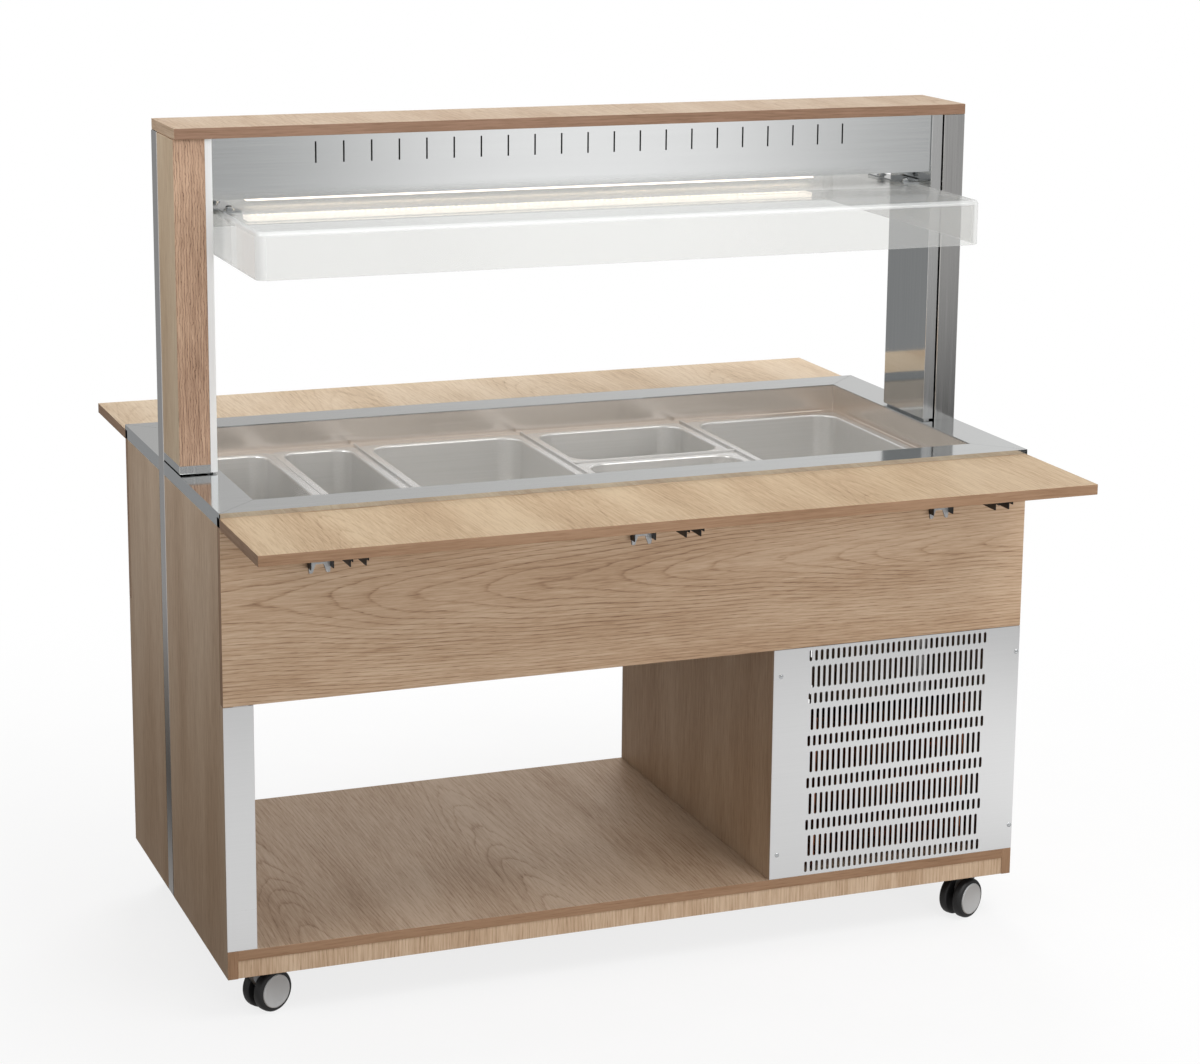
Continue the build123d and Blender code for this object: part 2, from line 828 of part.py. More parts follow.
def post_cover():
    face = make_face(Polyline(*post_outline(), close=True))
    hollow = offset(face, -post_sheet, kind=Kind.INTERSECTION)
    shell = Pos(0, 0, post_foot) * extrude(face - hollow, canopy_bottom - post_foot)
    sole_face = offset(face, -foot_inset, kind=Kind.INTERSECTION)
    sole = Pos(0, 0, counter_height) * extrude(sole_face, post_foot_gap)
    floor = Pos(0, 0, post_foot) * extrude(face, post_sheet)
    slot = block(-post_inner - post_sheet - 1, -post_inner + 1, -tongue_width / 2 - tongue_gap,
                 tongue_width / 2 + tongue_gap, slot_low, slot_high)
    return shell + floor + sole - slot


def post_trim():
    return outline_z(cladding_outline(), post_foot, post_foot + foot_trim)


write("post_left", post_cover(), post_trim())
write("post_right", half_turn(post_cover()), half_turn(post_trim()))
cladding = outline_z(cladding_outline(), post_foot + foot_trim, canopy_bottom)
write("post_claddings", cladding, half_turn(cladding))

# Canopy board over both posts
canopy_half_length = half_length - canopy_inset
canopy_half_depth = post_depth / 2 + canopy_overhang
write("canopy_board", block(-canopy_half_length, canopy_half_length, -canopy_half_depth, canopy_half_depth,
                            canopy_bottom, overall_height))


# Fascia: a steel sheet on each side under the canopy with a row of narrow upright slots
def fascia():
    reach = post_inner - seat_gap
    sheet = block(-reach, reach, -fascia_y, -fascia_y + cover_sheet, fascia_bottom, canopy_bottom)
    fold = block(-reach, reach, -fascia_y, -fascia_y + fascia_return,
                 fascia_bottom, fascia_bottom + cover_sheet)
    slots = []
    slot_z = canopy_bottom - fascia_slot_top - fascia_slot_height / 2
    for index in range(fascia_slots):
        x = (index - (fascia_slots - 1) / 2) * fascia_slot_pitch
        slot = Box(fascia_slot_width, 4 * cover_sheet, fascia_slot_height)
        slots.append(Pos(x, -fascia_y, slot_z) * slot)
    return sheet + fold - slots


write("fascia_panels", fascia(), flip_y(fascia()))


# Light bar: a steel tray that closes the fascia from below, and a channel with its diffuser under the tray
def light_bar():
    reach = post_inner - seat_gap
    tray = block(-reach, reach, -fascia_y + cover_sheet + seat_gap, fascia_y - cover_sheet - seat_gap,
                 fascia_bottom + cover_sheet, tray_top)
    left, right = -post_inner + light_left_gap, post_inner - light_right_gap
    front, rear = light_centre_y - light_width / 2, light_centre_y + light_width / 2
    low = fascia_bottom + cover_sheet - light_height
    channel = block(left, right, front, rear, low, fascia_bottom + cover_sheet)
    left, right = left + light_end_wall, right - light_end_wall
    front, rear = front + light_side_wall, rear - light_side_wall
    channel -= block(left, right, front, rear, low, low + light_height - light_side_wall)
    diffuser = block(left, right, front, rear, low, low + diffuser_thickness)
    return tray + channel + diffuser


write("light_bar", light_bar())

# Clear hood: a bent and bonded tray, open below, with two bolt holes near each end
strap_centre = hood_half_length - strap_inset - strap_width / 2
bolt_places = [(end * strap_centre, side * hood_bolt_spacing / 2) for end in (-1, 1) for side in (-1, 1)]


def hood():
    outer = extrude(RectangleRounded(2 * hood_half_length, 2 * hood_half_depth, hood_corner), hood_height)
    outer = fillet(outer.faces().sort_by(Axis.Z)[-1].edges(), hood_edge)
    inner = extrude(RectangleRounded(2 * (hood_half_length - hood_wall), 2 * (hood_half_depth - hood_wall),
                                     hood_corner - hood_wall), hood_height - hood_wall)
    inner = fillet(inner.faces().sort_by(Axis.Z)[-1].edges(), hood_edge - hood_wall)
    tray = Pos(0, 0, hood_bottom) * (outer - inner)
    for x, y in bolt_places:
        tray -= rod_z(hood_bolt_radius + through_gap, x, y, hood_bottom, hood_top + 1)
    return tray


write("hood", hood())


# Hood brackets: a strap on the hood at each end, with a tongue that enters the slot in the post
def hood_bracket():
    strap = block(-strap_centre - strap_width / 2, -strap_centre + strap_width / 2, -strap_length / 2,
                  strap_length / 2, strap_bottom, strap_bottom + strap_thickness)
    tongue_end = -strap_centre - strap_width / 2 - tongue_reach
    tongue = block(tongue_end, -strap_centre, -tongue_width / 2, tongue_width / 2, strap_bottom,
                   strap_bottom + strap_thickness)
    bracket = strap + tongue
    for x, y in bolt_places[:2]:
        bracket -= rod_z(hood_bolt_radius + through_gap, x, y, hood_bottom, overall_height)
    return bracket


# Hood bolts: a domed head above each strap, a washer and a knurled nut under the hood's top
def hood_bolt(x, y):
    strap_top = strap_bottom + strap_thickness
    under = hood_top - hood_wall
    washer_top = strap_top + hood_washer_thickness
    washer = rod_z(hood_washer_radius, x, y, strap_top, washer_top)
    head = rod_z(hood_bolt_head_radius, x, y, washer_top, washer_top + hood_bolt_head_height)
    head = fillet(head.edges().filter_by(GeomType.CIRCLE).sort_by(Axis.Z)[-1], hood_bolt_head_radius / 2)
    shank = rod_z(hood_bolt_radius, x, y, under - hood_bolt_tail, washer_top)
    nut = rod_z(hood_nut_radius, x, y, under - hood_nut_height, under)
    nut = chamfer(nut.edges().filter_by(GeomType.CIRCLE), 1)
    return washer + head + shank + nut


hood_bolts = [hood_bolt(x, y) for x, y in bolt_places]
write("hood_brackets", hood_bracket(), half_turn(hood_bracket()), *hood_bolts)


# Folding bracket leg: a channel on the apron panel with a notched foot, and the two pivot pins across it
def bracket_leg(x):
    half = leg_width / 2
    notch_outer = half - foot_toe
    notch_inner = notch_outer - foot_toe
    outline = [
        (x - half, leg_top),
        (x - half, leg_bottom + foot_taper),
        (x - half + foot_toe / 2, leg_bottom),
        (x - notch_outer + foot_toe / 2, leg_bottom),
        (x - notch_inner + foot_toe / 2, leg_bottom + foot_notch_height),
        (x + notch_inner - foot_toe / 2, leg_bottom + foot_notch_height),
        (x + notch_outer - foot_toe / 2, leg_bottom),
        (x + half - foot_toe / 2, leg_bottom),
        (x + half, leg_bottom + foot_taper),
        (x + half, leg_top),
    ]
    face = Plane.XZ * make_face(Polyline(*outline, close=True))
    back = Pos(0, -half_depth, 0) * extrude(face, leg_sheet)
    cheek_low = leg_bottom + foot_taper / 2
    outer = -half_depth - leg_depth
    cheek = block(x - half, x - half + leg_sheet, outer, -half_depth, cheek_low, leg_top)
    other = block(x + half - leg_sheet, x + half, outer, -half_depth, cheek_low, leg_top)
    pin = rod_x(pivot_radius, x - half, x + half, pivot_y, pivot_z)
    low_pin = rod_x(strut_pivot_radius, x - half, x + half,
                    -half_depth - strut_pivot_out, strut_pivot_height)
    sheet_front = -half_depth - leg_sheet
    screw = rod_y(leg_screw_radius, x, sheet_front - leg_screw_height, sheet_front,
                  leg_bottom + foot_notch_height + leg_screw_rise)
    return back + cheek + other + pin + low_pin + screw


front_legs = [bracket_leg(x) for x in bracket_places]
write("bracket_legs", *front_legs, *[flip_y(leg) for leg in front_legs])

# Folding shelves: oak-faced boards level with each other, just below the counter top
shelf_inner = -half_depth - shelf_gap
front_shelf = block(-half_length, half_length, shelf_inner - shelf_width, shelf_inner,
                    shelf_bottom, shelf_top)
write("front_shelf", front_shelf)
write("rear_shelf", flip_y(front_shelf))


# Bracket arms: black channels under the shelf, open below, stepped up at their tips, bored for the pin
def bracket_arm(x):
    start = -half_depth - arm_start
    tip = -half_depth - arm_end
    step = tip + arm_tip_length
    low = shelf_bottom - arm_height
    tip_low = shelf_bottom - arm_tip_height
    outline = [
        (start, shelf_bottom),
        (start, low),
        (step, low),
        (step, tip_low),
        (tip, tip_low),
        (tip, shelf_bottom),
    ]
    channel = outline_x(outline, x - arm_width / 2, x + arm_width / 2)
    channel += rod_x(arm_lobe, x - arm_width / 2, x + arm_width / 2, pivot_y, pivot_z)
    room = arm_width / 2 - arm_sheet
    channel -= block(x - room, x + room, tip - 1, start + 1, low - arm_lobe, shelf_bottom - arm_sheet)
    return channel - rod_x(pivot_radius + running_gap, x - arm_width, x + arm_width, pivot_y, pivot_z)


front_arms = [bracket_arm(x) for x in bracket_places]
write("front_bracket_arms", *front_arms)
write("rear_bracket_arms", *[flip_y(arm) for arm in front_arms])


# Bracket struts: bars pinned at the foot of each leg that prop the arm and fold down with it
def bracket_strut(x):
    y = -half_depth - strut_pivot_out
    z = strut_pivot_height
    run = hypot(strut_reach, strut_rise)
    angle = degrees(atan2(strut_rise, strut_reach))
    bar = Box(strut_width, run, strut_height)
    half = strut_width / 2
    ends = [rod_x(strut_height / 2, -half, half, side * run / 2, 0) for side in (-1, 1)]
    bore = rod_x(strut_pivot_radius + running_gap, -strut_width, strut_width, run / 2, 0)
    local = bar + ends[0] + ends[1] - bore
    return Pos(x, y, z) * Rot(-angle, 0, 0) * Pos(0, -run / 2, 0) * local


front_struts = [bracket_strut(x) for x in bracket_places]
write("front_bracket_struts", *front_struts)
write("rear_bracket_struts", *[flip_y(strut) for strut in front_struts])

# Condenser: finned block with its tubes and end plates, behind the front grille
condenser_front = -half_depth + cover_sheet + condenser_gap
condenser_back = condenser_front + condenser_depth
condenser_low = bay_floor_height + condenser_foot_height
condenser_top = condenser_low + condenser_height


def condenser():
    left = cover_centre - condenser_width / 2
    right = cover_centre + condenser_width / 2
    pieces = []
    for index in range(condenser_fins):
        x = left + condenser_width * index / (condenser_fins - 1)
        thick = condenser_fin if 0 < index < condenser_fins - 1 else condenser_end_plate
        pieces.append(block(x - thick / 2, x + thick / 2, condenser_front, condenser_back, condenser_low,
                            condenser_top))
    for row in range(condenser_rows):
        z = condenser_low + condenser_height * (row + 0.5) / condenser_rows
        for column in (1, 3):
            y = condenser_front + condenser_depth * column / 4
            pieces.append(rod_x(condenser_tube_radius, left - condenser_tube_reach,
                                right + condenser_tube_reach, y, z))
        bend_front = condenser_front + condenser_depth / 4
        bend_back = condenser_front + condenser_depth * 3 / 4
        for x in (left - 3, right + 3):
            pieces.append(rod_y(condenser_tube_radius - 1, x, bend_front, bend_back, z))
    edge = condenser_end_plate / 2
    foot_left = block(left - edge, left + condenser_foot_length, condenser_front, condenser_back,
                      bay_floor_height, condenser_low)
    foot_right = block(right - condenser_foot_length, right + edge, condenser_front, condenser_back,
                       bay_floor_height, condenser_low)
    return foot_left.fuse(foot_right, *pieces)


write("condenser", condenser())

# Fan shroud with its ring, its motor and the three arms that hold the motor behind the blades
fan_z = (condenser_low + condenser_top) / 2
shroud_y = condenser_back + shroud_sheet
ring_back = shroud_y + shroud_depth
blade_y = shroud_y + blade_setback
motor_y = ring_back + motor_gap


def fan_shroud():
    half = condenser_width / 2
    bore = fan_radius + fan_bore_gap
    plate = block(cover_centre - half, cover_centre + half, shroud_y, shroud_y + shroud_sheet,
                  condenser_low, condenser_top)
    plate += rod_y(bore + shroud_sheet, cover_centre, shroud_y, ring_back, fan_z)
    plate -= rod_y(bore, cover_centre, shroud_y, ring_back, fan_z)
    motor = rod_y(motor_radius, cover_centre, motor_y, motor_y + motor_length, fan_z)
    motor = fillet(motor.edges().filter_by(GeomType.CIRCLE), 6)
    for turn in (90, 210, 330):
        inner = motor_radius - 4
        along = Pos((inner + bore + 1) / 2, 0, 0) * Box(bore + 1 - inner, motor_arm, motor_arm)
        place = Pos(cover_centre, motor_y + 6, fan_z) * Rot(90, 0, 0) * Rot(0, 0, turn)
        arm = place * along
        tip = Pos(bore + 1, 0, 0) * Box(4, motor_arm, motor_arm + 2 * (motor_y + 6 - ring_back))
        strut = place * tip
        motor = motor + arm + strut
    motor -= rod_y(fan_shaft_radius + running_gap, cover_centre, motor_y, motor_y + motor_length / 2, fan_z)
    return plate + motor


write("fan_shroud", fan_shroud())


# Fan blades: five pitched blades on a hub, with the shaft that runs in the motor
def fan_blades():
    rotor = rod_y(fan_hub_radius, 0, -8, 12, 0)
    rotor += rod_y(fan_shaft_radius, 0, 12, motor_y - blade_y + motor_length / 2 - 1, 0)
    for index in range(fan_blade_count):
        reach = fan_radius - fan_hub_radius + 4
        sheet = Rot(fan_blade_pitch, 0, 0) * Box(reach, fan_blade_sheet, fan_blade_length)
        blade = Pos(fan_hub_radius - 4 + reach / 2, 0, 0) * sheet
        rotor += Rot(0, index * 360 / fan_blade_count, 0) * blade
    rim = rod_y(fan_radius, 0, -40, 40, 0)
    return Pos(cover_centre, blade_y, fan_z) * (rotor & rim)


write("fan_blades", fan_blades())


# Compressor: a hermetic steel shell on a foot plate with four rubber feet and a terminal box
def compressor():
    low = bay_floor_height + compressor_foot
    shell = rod_z(compressor_radius, compressor_x, compressor_y, low, low + compressor_height)
    shell = fillet(shell.edges().filter_by(GeomType.CIRCLE).sort_by(Axis.Z)[-1], compressor_dome)
    shell = fillet(shell.edges().filter_by(GeomType.CIRCLE).sort_by(Axis.Z)[0], compressor_base_radius)
    plate = Box(compressor_plate_length, compressor_plate_width, compressor_plate_thickness)
    shell += Pos(compressor_x, compressor_y, low + 1) * plate
    reach_x = compressor_plate_length / 2 - compressor_foot_inset
    reach_y = compressor_plate_width / 2 - compressor_foot_inset
    for dx in (-reach_x, reach_x):
        for dy in (-reach_y, reach_y):
            shell += rod_z(compressor_foot_radius, compressor_x + dx, compressor_y + dy,
                           bay_floor_height, low + 6)
    box_x = compressor_x + compressor_radius + terminal_length / 4
    box = Box(terminal_length, terminal_width, terminal_height)
    return shell + Pos(box_x, compressor_y, low + terminal_rise) * box


write("compressor", compressor())


# Filter drier and the copper pipes from the compressor to the condenser and up to the coil
def drier_and_pipes():
    drier_left = compressor_x + drier_gap
    drier_right = drier_left + drier_length
    low = bay_floor_height + pipe_row_rise
    drier = rod_x(drier_radius, drier_left, drier_right, pipe_row_y, low)
    top = bay_floor_height + compressor_foot + compressor_height
    rise = [
        (compressor_x, compressor_y, top + 2),
        (compressor_x, compressor_y, top + pipe_loop_rise),
        (compressor_x, pipe_row_y, top + pipe_loop_rise),
        (compressor_x, pipe_row_y, low),
        (drier_left, pipe_row_y, low),
    ]
    first = FilletPolyline(*rise, radius=pipe_bend)
    suction = sweep(Plane(origin=rise[0], z_dir=(0, 0, 1)) * Circle(pipe_radius), path=first)
    climb = [
        (drier_right, pipe_row_y, low),
        (drier_right + feed_reach, pipe_row_y, low),
        (drier_right + feed_reach, pipe_row_y, casing_bottom - 1),
    ]
    second = FilletPolyline(*climb, radius=pipe_bend)
    feed = sweep(Plane(origin=climb[0], z_dir=(1, 0, 0)) * Circle(pipe_radius), path=second)
    return drier + suction + feed


write("drier_and_pipes", drier_and_pipes())

# Control box behind the rear cover, with the bezels of both rocker switches
rear_inner = half_depth - cover_sheet
rocker_pivot_y = half_depth - rocker_pivot_depth
rocker_pin_half = rocker_width / 2 + rocker_gap + rocker_pin_reach


def control_box():
    left, right = knob_x - control_box_margin, inlet_x + control_box_margin
    low, high = control_height - control_box_half_height, control_height + control_box_half_height
    back = rear_inner - control_box_depth
    wall = control_box_wall
    shell = block(left, right, back, rear_inner, low, high)
    shell -= block(left + wall, right - wall, back + wall, rear_inner, low + wall, high - wall)
    pieces = [shell]
    for x in (power_switch_x, light_switch_x):
        outer_x = rocker_width / 2 + bezel - fit_gap
        outer_z = rocker_height / 2 + bezel - fit_gap
        inner_x = rocker_width / 2 + rocker_gap
        inner_z = rocker_height / 2 + rocker_gap
        bore_half = rocker_pin_half + fit_gap
        ring = block(x - outer_x, x + outer_x, rear_inner - bezel_depth, half_depth + bezel_proud,
                     control_height - outer_z, control_height + outer_z)
        ring -= block(x - inner_x, x + inner_x, rear_inner - bezel_depth + bezel_floor,
                      half_depth + bezel_proud, control_height - inner_z, control_height + inner_z)
        ring -= rod_x(rocker_pin_radius + running_gap, x - bore_half, x + bore_half,
                      rocker_pivot_y, control_height)
        pieces.append(ring)
    return pieces


write("control_box", *control_box())


# Rocker switches: a saddle-shaped key that tips on a pin in its bezel, its lower half pressed in at rest
def rocker(x):
    half_height = rocker_height / 2 - 2 * fit_gap
    outline = [
        (-6, -half_height + 3),
        (2, -half_height),
        (6.5, -half_height),
        (4.5, 0),
        (6.5, half_height),
        (2, half_height),
        (-6, half_height - 3),
    ]
    key = outline_x(outline, -rocker_width / 2, rocker_width / 2)
    key += rod_x(rocker_pin_radius, -rocker_pin_half, rocker_pin_half, 0, 0)
    return Pos(x, rocker_pivot_y, control_height) * Rot(rocker_tip, 0, 0) * key


write("power_switch", rocker(power_switch_x))
write("light_switch", rocker(light_switch_x))


# Thermostat knob: a fluted knob with a pointer ridge, on a shaft into the control box
def thermostat_knob():
    face = half_depth + knob_gap
    knob = rod_y(knob_radius, knob_x, face, face + knob_height, control_height)
    knob = fillet(knob.edges().filter_by(GeomType.CIRCLE).sort_by(Axis.Y)[-1], 2)
    for index in range(knob_flutes):
        turn = radians(index * 360 / knob_flutes)
        knob -= rod_y(knob_flute_radius, knob_x + knob_radius * cos(turn), face + 2, face + knob_height + 1,
                      control_height + knob_radius * sin(turn))
    ridge = block(knob_x - 2, knob_x + 2, face + knob_height - 1, face + knob_height + 2,
                  control_height, control_height + knob_radius - 3)
    shaft = rod_y(knob_shaft_radius, knob_x, rear_inner - knob_shaft_length, face, control_height)
    return knob + ridge + shaft


write("thermostat_knob", thermostat_knob())


# Mains inlet: a flanged socket with three flat pins in its recess
def power_inlet():
    flange_x, flange_z = inlet_width / 2 + inlet_flange, inlet_height / 2 + inlet_flange
    outer = half_depth + inlet_flange_thickness
    flange = block(inlet_x - flange_x, inlet_x + flange_x, half_depth, outer,
                   control_height - flange_z, control_height + flange_z)
    body_x, body_z = inlet_width / 2 - through_gap, inlet_height / 2 - through_gap
    body = block(inlet_x - body_x, inlet_x + body_x, rear_inner - inlet_depth, half_depth,
                 control_height - body_z, control_height + body_z)
    recess = block(inlet_x - socket_width / 2, inlet_x + socket_width / 2, rear_inner - socket_depth, outer,
                   control_height - socket_height / 2, control_height + socket_height / 2)
    socket = flange + body - recess
    for x, z in ((-7, -2), (7, -2), (0, 3)):
        socket += block(inlet_x + x - 1, inlet_x + x + 1, rear_inner - socket_depth - 1, half_depth - 1,
                        control_height + z - 2, control_height + z + 2)
    return socket


write("power_inlet", power_inlet())

# Casters: swivel axes in from each corner, and the direction in which each wheel trails
caster_places = {
    "front_left": (-caster_x, -caster_y, front_left_angle),
    "front_right": (caster_x, -caster_y, front_right_angle),
    "rear_left": (-caster_x, caster_y, rear_left_angle),
    "rear_right": (caster_x, caster_y, rear_right_angle),
}
plate_low = plinth_top - caster_plate_thickness
head_top = plate_low - swivel_gap
brake_z = 2 * wheel_radius + brake_pin_rise


def caster_plate(x, y):
    half = caster_plate_size / 2
    plate = block(x - half, x + half, y - half, y + half, plate_low, plinth_top)
    return plate - rod_z(stem_radius + running_gap, x, y, plate_low, plinth_top)


write("caster_plates", *[caster_plate(x, y) for x, y, _ in caster_places.values()])


# Fork: stem, head disc and a web between the wheels, with the boss for the axle
def caster_fork(braked):
    middle = head_top - fork_head_height / 2
    stem = rod_z(stem_radius, 0, 0, middle, plinth_top - seat_gap)
    head = rod_z(fork_head_radius, 0, 0, head_top - fork_head_height, head_top)
    head = fillet(head.edges().filter_by(GeomType.CIRCLE), 2)
    neck = rod_z(fork_neck_radius, 0, 0, 2 * wheel_radius + 1, middle)
    web_half = caster_web / 2
    shoulder = head_top - fork_head_height - 3
    profile = [
        (-fork_neck_radius, shoulder),
        (fork_neck_radius, shoulder),
        (web_shoulder, 2 * wheel_radius + web_crown),
        (caster_trail + fork_boss_radius, wheel_radius + web_heel),
        (caster_trail + fork_boss_radius, wheel_radius),
        (caster_trail - fork_boss_radius, wheel_radius - web_foot),
        (-fork_neck_radius, wheel_radius + web_throat),
    ]
    face = Plane.XZ * make_face(Polyline(*profile, close=True))
    web = Pos(0, web_half, 0) * extrude(face, caster_web)
    boss = rod_y(fork_boss_radius, caster_trail, -web_half, web_half, wheel_radius)
    fork = stem + head + neck + web + boss
    fork -= rod_y(axle_radius + running_gap, caster_trail, -web_half - 1, web_half + 1, wheel_radius)
    if braked:
        fork -= rod_y(brake_pin_radius + running_gap, brake_pin_out, -web_half - 1, web_half + 1, brake_z)
    return fork


# Wheel pair: two tyred wheels on one axle, one each side of the fork
def caster_wheel():
    axle = rod_y(axle_radius, 0, -wheel_inner - wheel_width / 2, wheel_inner + wheel_width / 2, 0)
    pair = axle
    for side in (-1, 1):
        near, far = side * wheel_inner, side * (wheel_inner + wheel_width)
        tyre = rod_y(wheel_radius, 0, min(near, far), max(near, far), 0)
        tyre = fillet(tyre.edges().filter_by(GeomType.CIRCLE), tyre_shoulder)
        cap = rod_y(wheel_cap_radius, 0, far - wheel_cap_proud, far + wheel_cap_proud, 0)
        cap = fillet(cap.edges().filter_by(GeomType.CIRCLE), 1)
        pair = pair + tyre + cap
    return pair


# Brake pedal: two cheeks on a pin through the fork, with a broad tread behind the wheels
def brake_pedal():
    web_half = caster_web / 2
    cheek_in = web_half + brake_cheek_gap
    cheek_out = cheek_in + brake_cheek
    top = brake_z + brake_top_rise
    pedal = block(pedal_start, pedal_arm_end, -pedal_arm_width / 2, pedal_arm_width / 2,
                  top - pedal_arm_sheet, top)
    pedal += block(pedal_tread_start, pedal_tread_end, -pedal_tread_width / 2, pedal_tread_width / 2,
                   top - pedal_tread_sheet, top)
    for side in (-1, 1):
        y0, y1 = sorted((side * cheek_in, side * cheek_out))
        pedal += block(brake_pin_out - brake_cheek_lug, pedal_start + 6, y0, y1,
                       brake_z - brake_cheek_drop, top - 2)
        pedal += rod_y(brake_cheek_lug, brake_pin_out, y0, y1, brake_z)
    return pedal + rod_y(brake_pin_radius, brake_pin_out, -cheek_out, cheek_out, brake_z)


for name, (x, y, angle) in caster_places.items():
    place = Pos(x, y, 0) * Rot(0, 0, angle)
    braked = name.startswith("rear")
    write(f"caster_fork_{name}", place * caster_fork(braked))
    write(f"caster_wheel_{name}", place * Pos(caster_trail, 0, wheel_radius) * caster_wheel())
    if braked:
        write(f"brake_pedal_{name}", place * brake_pedal())
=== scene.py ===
import json
from math import cos, pi, radians, sin

import bmesh
import bpy
from mathutils import Matrix, Vector

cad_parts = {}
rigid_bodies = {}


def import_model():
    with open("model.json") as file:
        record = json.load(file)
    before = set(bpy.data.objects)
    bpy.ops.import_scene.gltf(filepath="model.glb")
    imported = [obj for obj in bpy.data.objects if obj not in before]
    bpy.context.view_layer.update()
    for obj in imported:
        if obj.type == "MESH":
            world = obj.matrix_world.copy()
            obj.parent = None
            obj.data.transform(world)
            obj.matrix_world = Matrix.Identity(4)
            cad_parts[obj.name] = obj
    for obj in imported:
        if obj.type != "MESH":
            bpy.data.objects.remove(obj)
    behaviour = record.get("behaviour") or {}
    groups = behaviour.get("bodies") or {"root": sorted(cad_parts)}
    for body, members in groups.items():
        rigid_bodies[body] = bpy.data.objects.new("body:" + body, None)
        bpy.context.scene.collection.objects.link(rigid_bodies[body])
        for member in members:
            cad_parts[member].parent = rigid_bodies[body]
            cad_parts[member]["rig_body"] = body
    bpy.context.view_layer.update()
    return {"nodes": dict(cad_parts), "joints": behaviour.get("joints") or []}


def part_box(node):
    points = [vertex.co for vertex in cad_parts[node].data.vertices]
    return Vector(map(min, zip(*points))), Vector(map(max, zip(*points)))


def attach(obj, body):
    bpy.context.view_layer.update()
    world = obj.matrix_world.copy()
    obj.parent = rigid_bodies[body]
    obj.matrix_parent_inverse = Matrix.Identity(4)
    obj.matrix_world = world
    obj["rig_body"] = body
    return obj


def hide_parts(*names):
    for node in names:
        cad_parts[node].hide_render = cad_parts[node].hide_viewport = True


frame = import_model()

# The studio: a pale floor, an even sky and four large soft lamps, high at the front right, high on the left,
# low in front and behind. The sky is white to the eye and to glass. Metal sees one tall bright panel beside
# the camera, grey walls and a white ceiling, so that flat steel shows soft steps of light.


def linear(code):
    """An sRGB hex colour as linear red, green, blue and alpha."""
    parts = [int(code[place:place + 2], 16) / 255 for place in (1, 3, 5)]
    return tuple([p / 12.92 if p <= 0.04045 else ((p + 0.055) / 1.055) ** 2.4 for p in parts] + [1.0])


def add(tree, kind, inputs=None, stops=None, **settings):
    """Add a node with its settings. Shader and maths nodes are named without their first word, ShaderNode.
    An input takes a value, a socket, or another node's first output."""
    node = tree.nodes.new(kind if kind.startswith(("Geometry", "NodeGroup")) else "ShaderNode" + kind)
    for name, value in settings.items():
        setattr(node, name, value)
    for key, value in (inputs or {}).items():
        if isinstance(value, bpy.types.Node):
            value = next(socket for socket in value.outputs if socket.enabled)
        if isinstance(value, bpy.types.NodeSocket):
            tree.links.new(value, node.inputs[key])
        else:
            node.inputs[key].default_value = value
    if stops:
        elements = node.color_ramp.elements
        while len(elements) < len(stops):
            elements.new(1.0)
        for element, (position, code) in zip(elements, stops):
            element.position = position
            element.color = linear(code)
    return node


scene = bpy.context.scene
scene.view_settings.view_transform = "Standard"
world = bpy.data.worlds.new("studio")
world.use_nodes = True
scene.world = world
sky = world.node_tree
sky.nodes.clear()

rays = add(sky, "LightPath")
direction = add(sky, "TexCoord").outputs["Generated"]
height = add(sky, "SeparateXYZ", {0: direction}).outputs["Z"]

FILL_FROM = (0.457, -0.457, 0.762)
FILL_STRENGTH = 0.62
towards_fill = add(sky, "VectorMath", {0: direction, 1: FILL_FROM}, operation="DOT_PRODUCT")
fill_share = add(sky, "MapRange", {"Value": towards_fill.outputs["Value"], "From Min": -1.0, "From Max": 1.0})
fill_tone = add(sky, "ValToRGB", {0: fill_share}, stops=[
    (0.0, "#1A1712"), (0.4, "#4C463C"), (0.65, "#C4C4C4"), (1.0, "#FFFFFF")])

PANEL_AZIMUTH = radians(20.9)
level_way = add(sky, "VectorMath", {0: direction, 1: (1, 1, 0)}, operation="MULTIPLY")
level_way = add(sky, "VectorMath", {0: level_way}, operation="NORMALIZE")
towards_panel = add(sky, "VectorMath", {0: level_way, 1: (sin(PANEL_AZIMUTH), -cos(PANEL_AZIMUTH), 0)},
                    operation="DOT_PRODUCT")
turned = add(sky, "Math", {0: towards_panel.outputs["Value"]}, operation="ARCCOSINE")
turned_share = add(sky, "Math", {0: turned, 1: pi}, operation="DIVIDE")
walls = add(sky, "ValToRGB", {0: turned_share}, stops=[
    (0.0, "#FFFFFF"), (0.0145, "#F8F8F8"), (0.035, "#A9AAAA"), (0.06, "#A2A3A3"), (0.16, "#BEBEBE"),
    (0.40, "#DCDCDC"), (0.70, "#E8E7E6"), (0.80, "#C2C0BE"), (0.90, "#A2A2A2"), (1.0, "#8C8D8E")])
beside_panel = add(sky, "MapRange", {"Value": turned_share, "From Min": 0.1, "From Max": 0.2, "To Min": 1.0,
                                     "To Max": 0.0})
below_eye = add(sky, "MapRange", {"Value": height, "From Min": -0.17, "From Max": -0.21})
sunk = add(sky, "Math", {0: beside_panel, 1: below_eye}, operation="MULTIPLY")
walls = add(sky, "Mix", {"Factor": sunk, "A": walls, "B": linear("#161718")}, data_type="RGBA")
overhead = add(sky, "MapRange", {"Value": height, "From Min": 0.24, "From Max": 0.62})
ceiling = add(sky, "Mix", {"Factor": overhead, "A": walls, "B": linear("#FFFFFF")}, data_type="RGBA")
eye = add(sky, "Math", {0: rays.outputs["Is Camera Ray"], 1: rays.outputs["Is Transmission Ray"]},
          operation="MAXIMUM")
fill = add(sky, "Background", {"Color": fill_tone, "Strength": FILL_STRENGTH})
seen = add(sky, "Background", {"Color": linear("#FFFFFF"), "Strength": 1.0})
mirrored = add(sky, "Background", {"Color": ceiling, "Strength": 1.0})
soft = add(sky, "MixShader", {0: rays.outputs["Is Glossy Ray"], 1: fill, 2: mirrored})
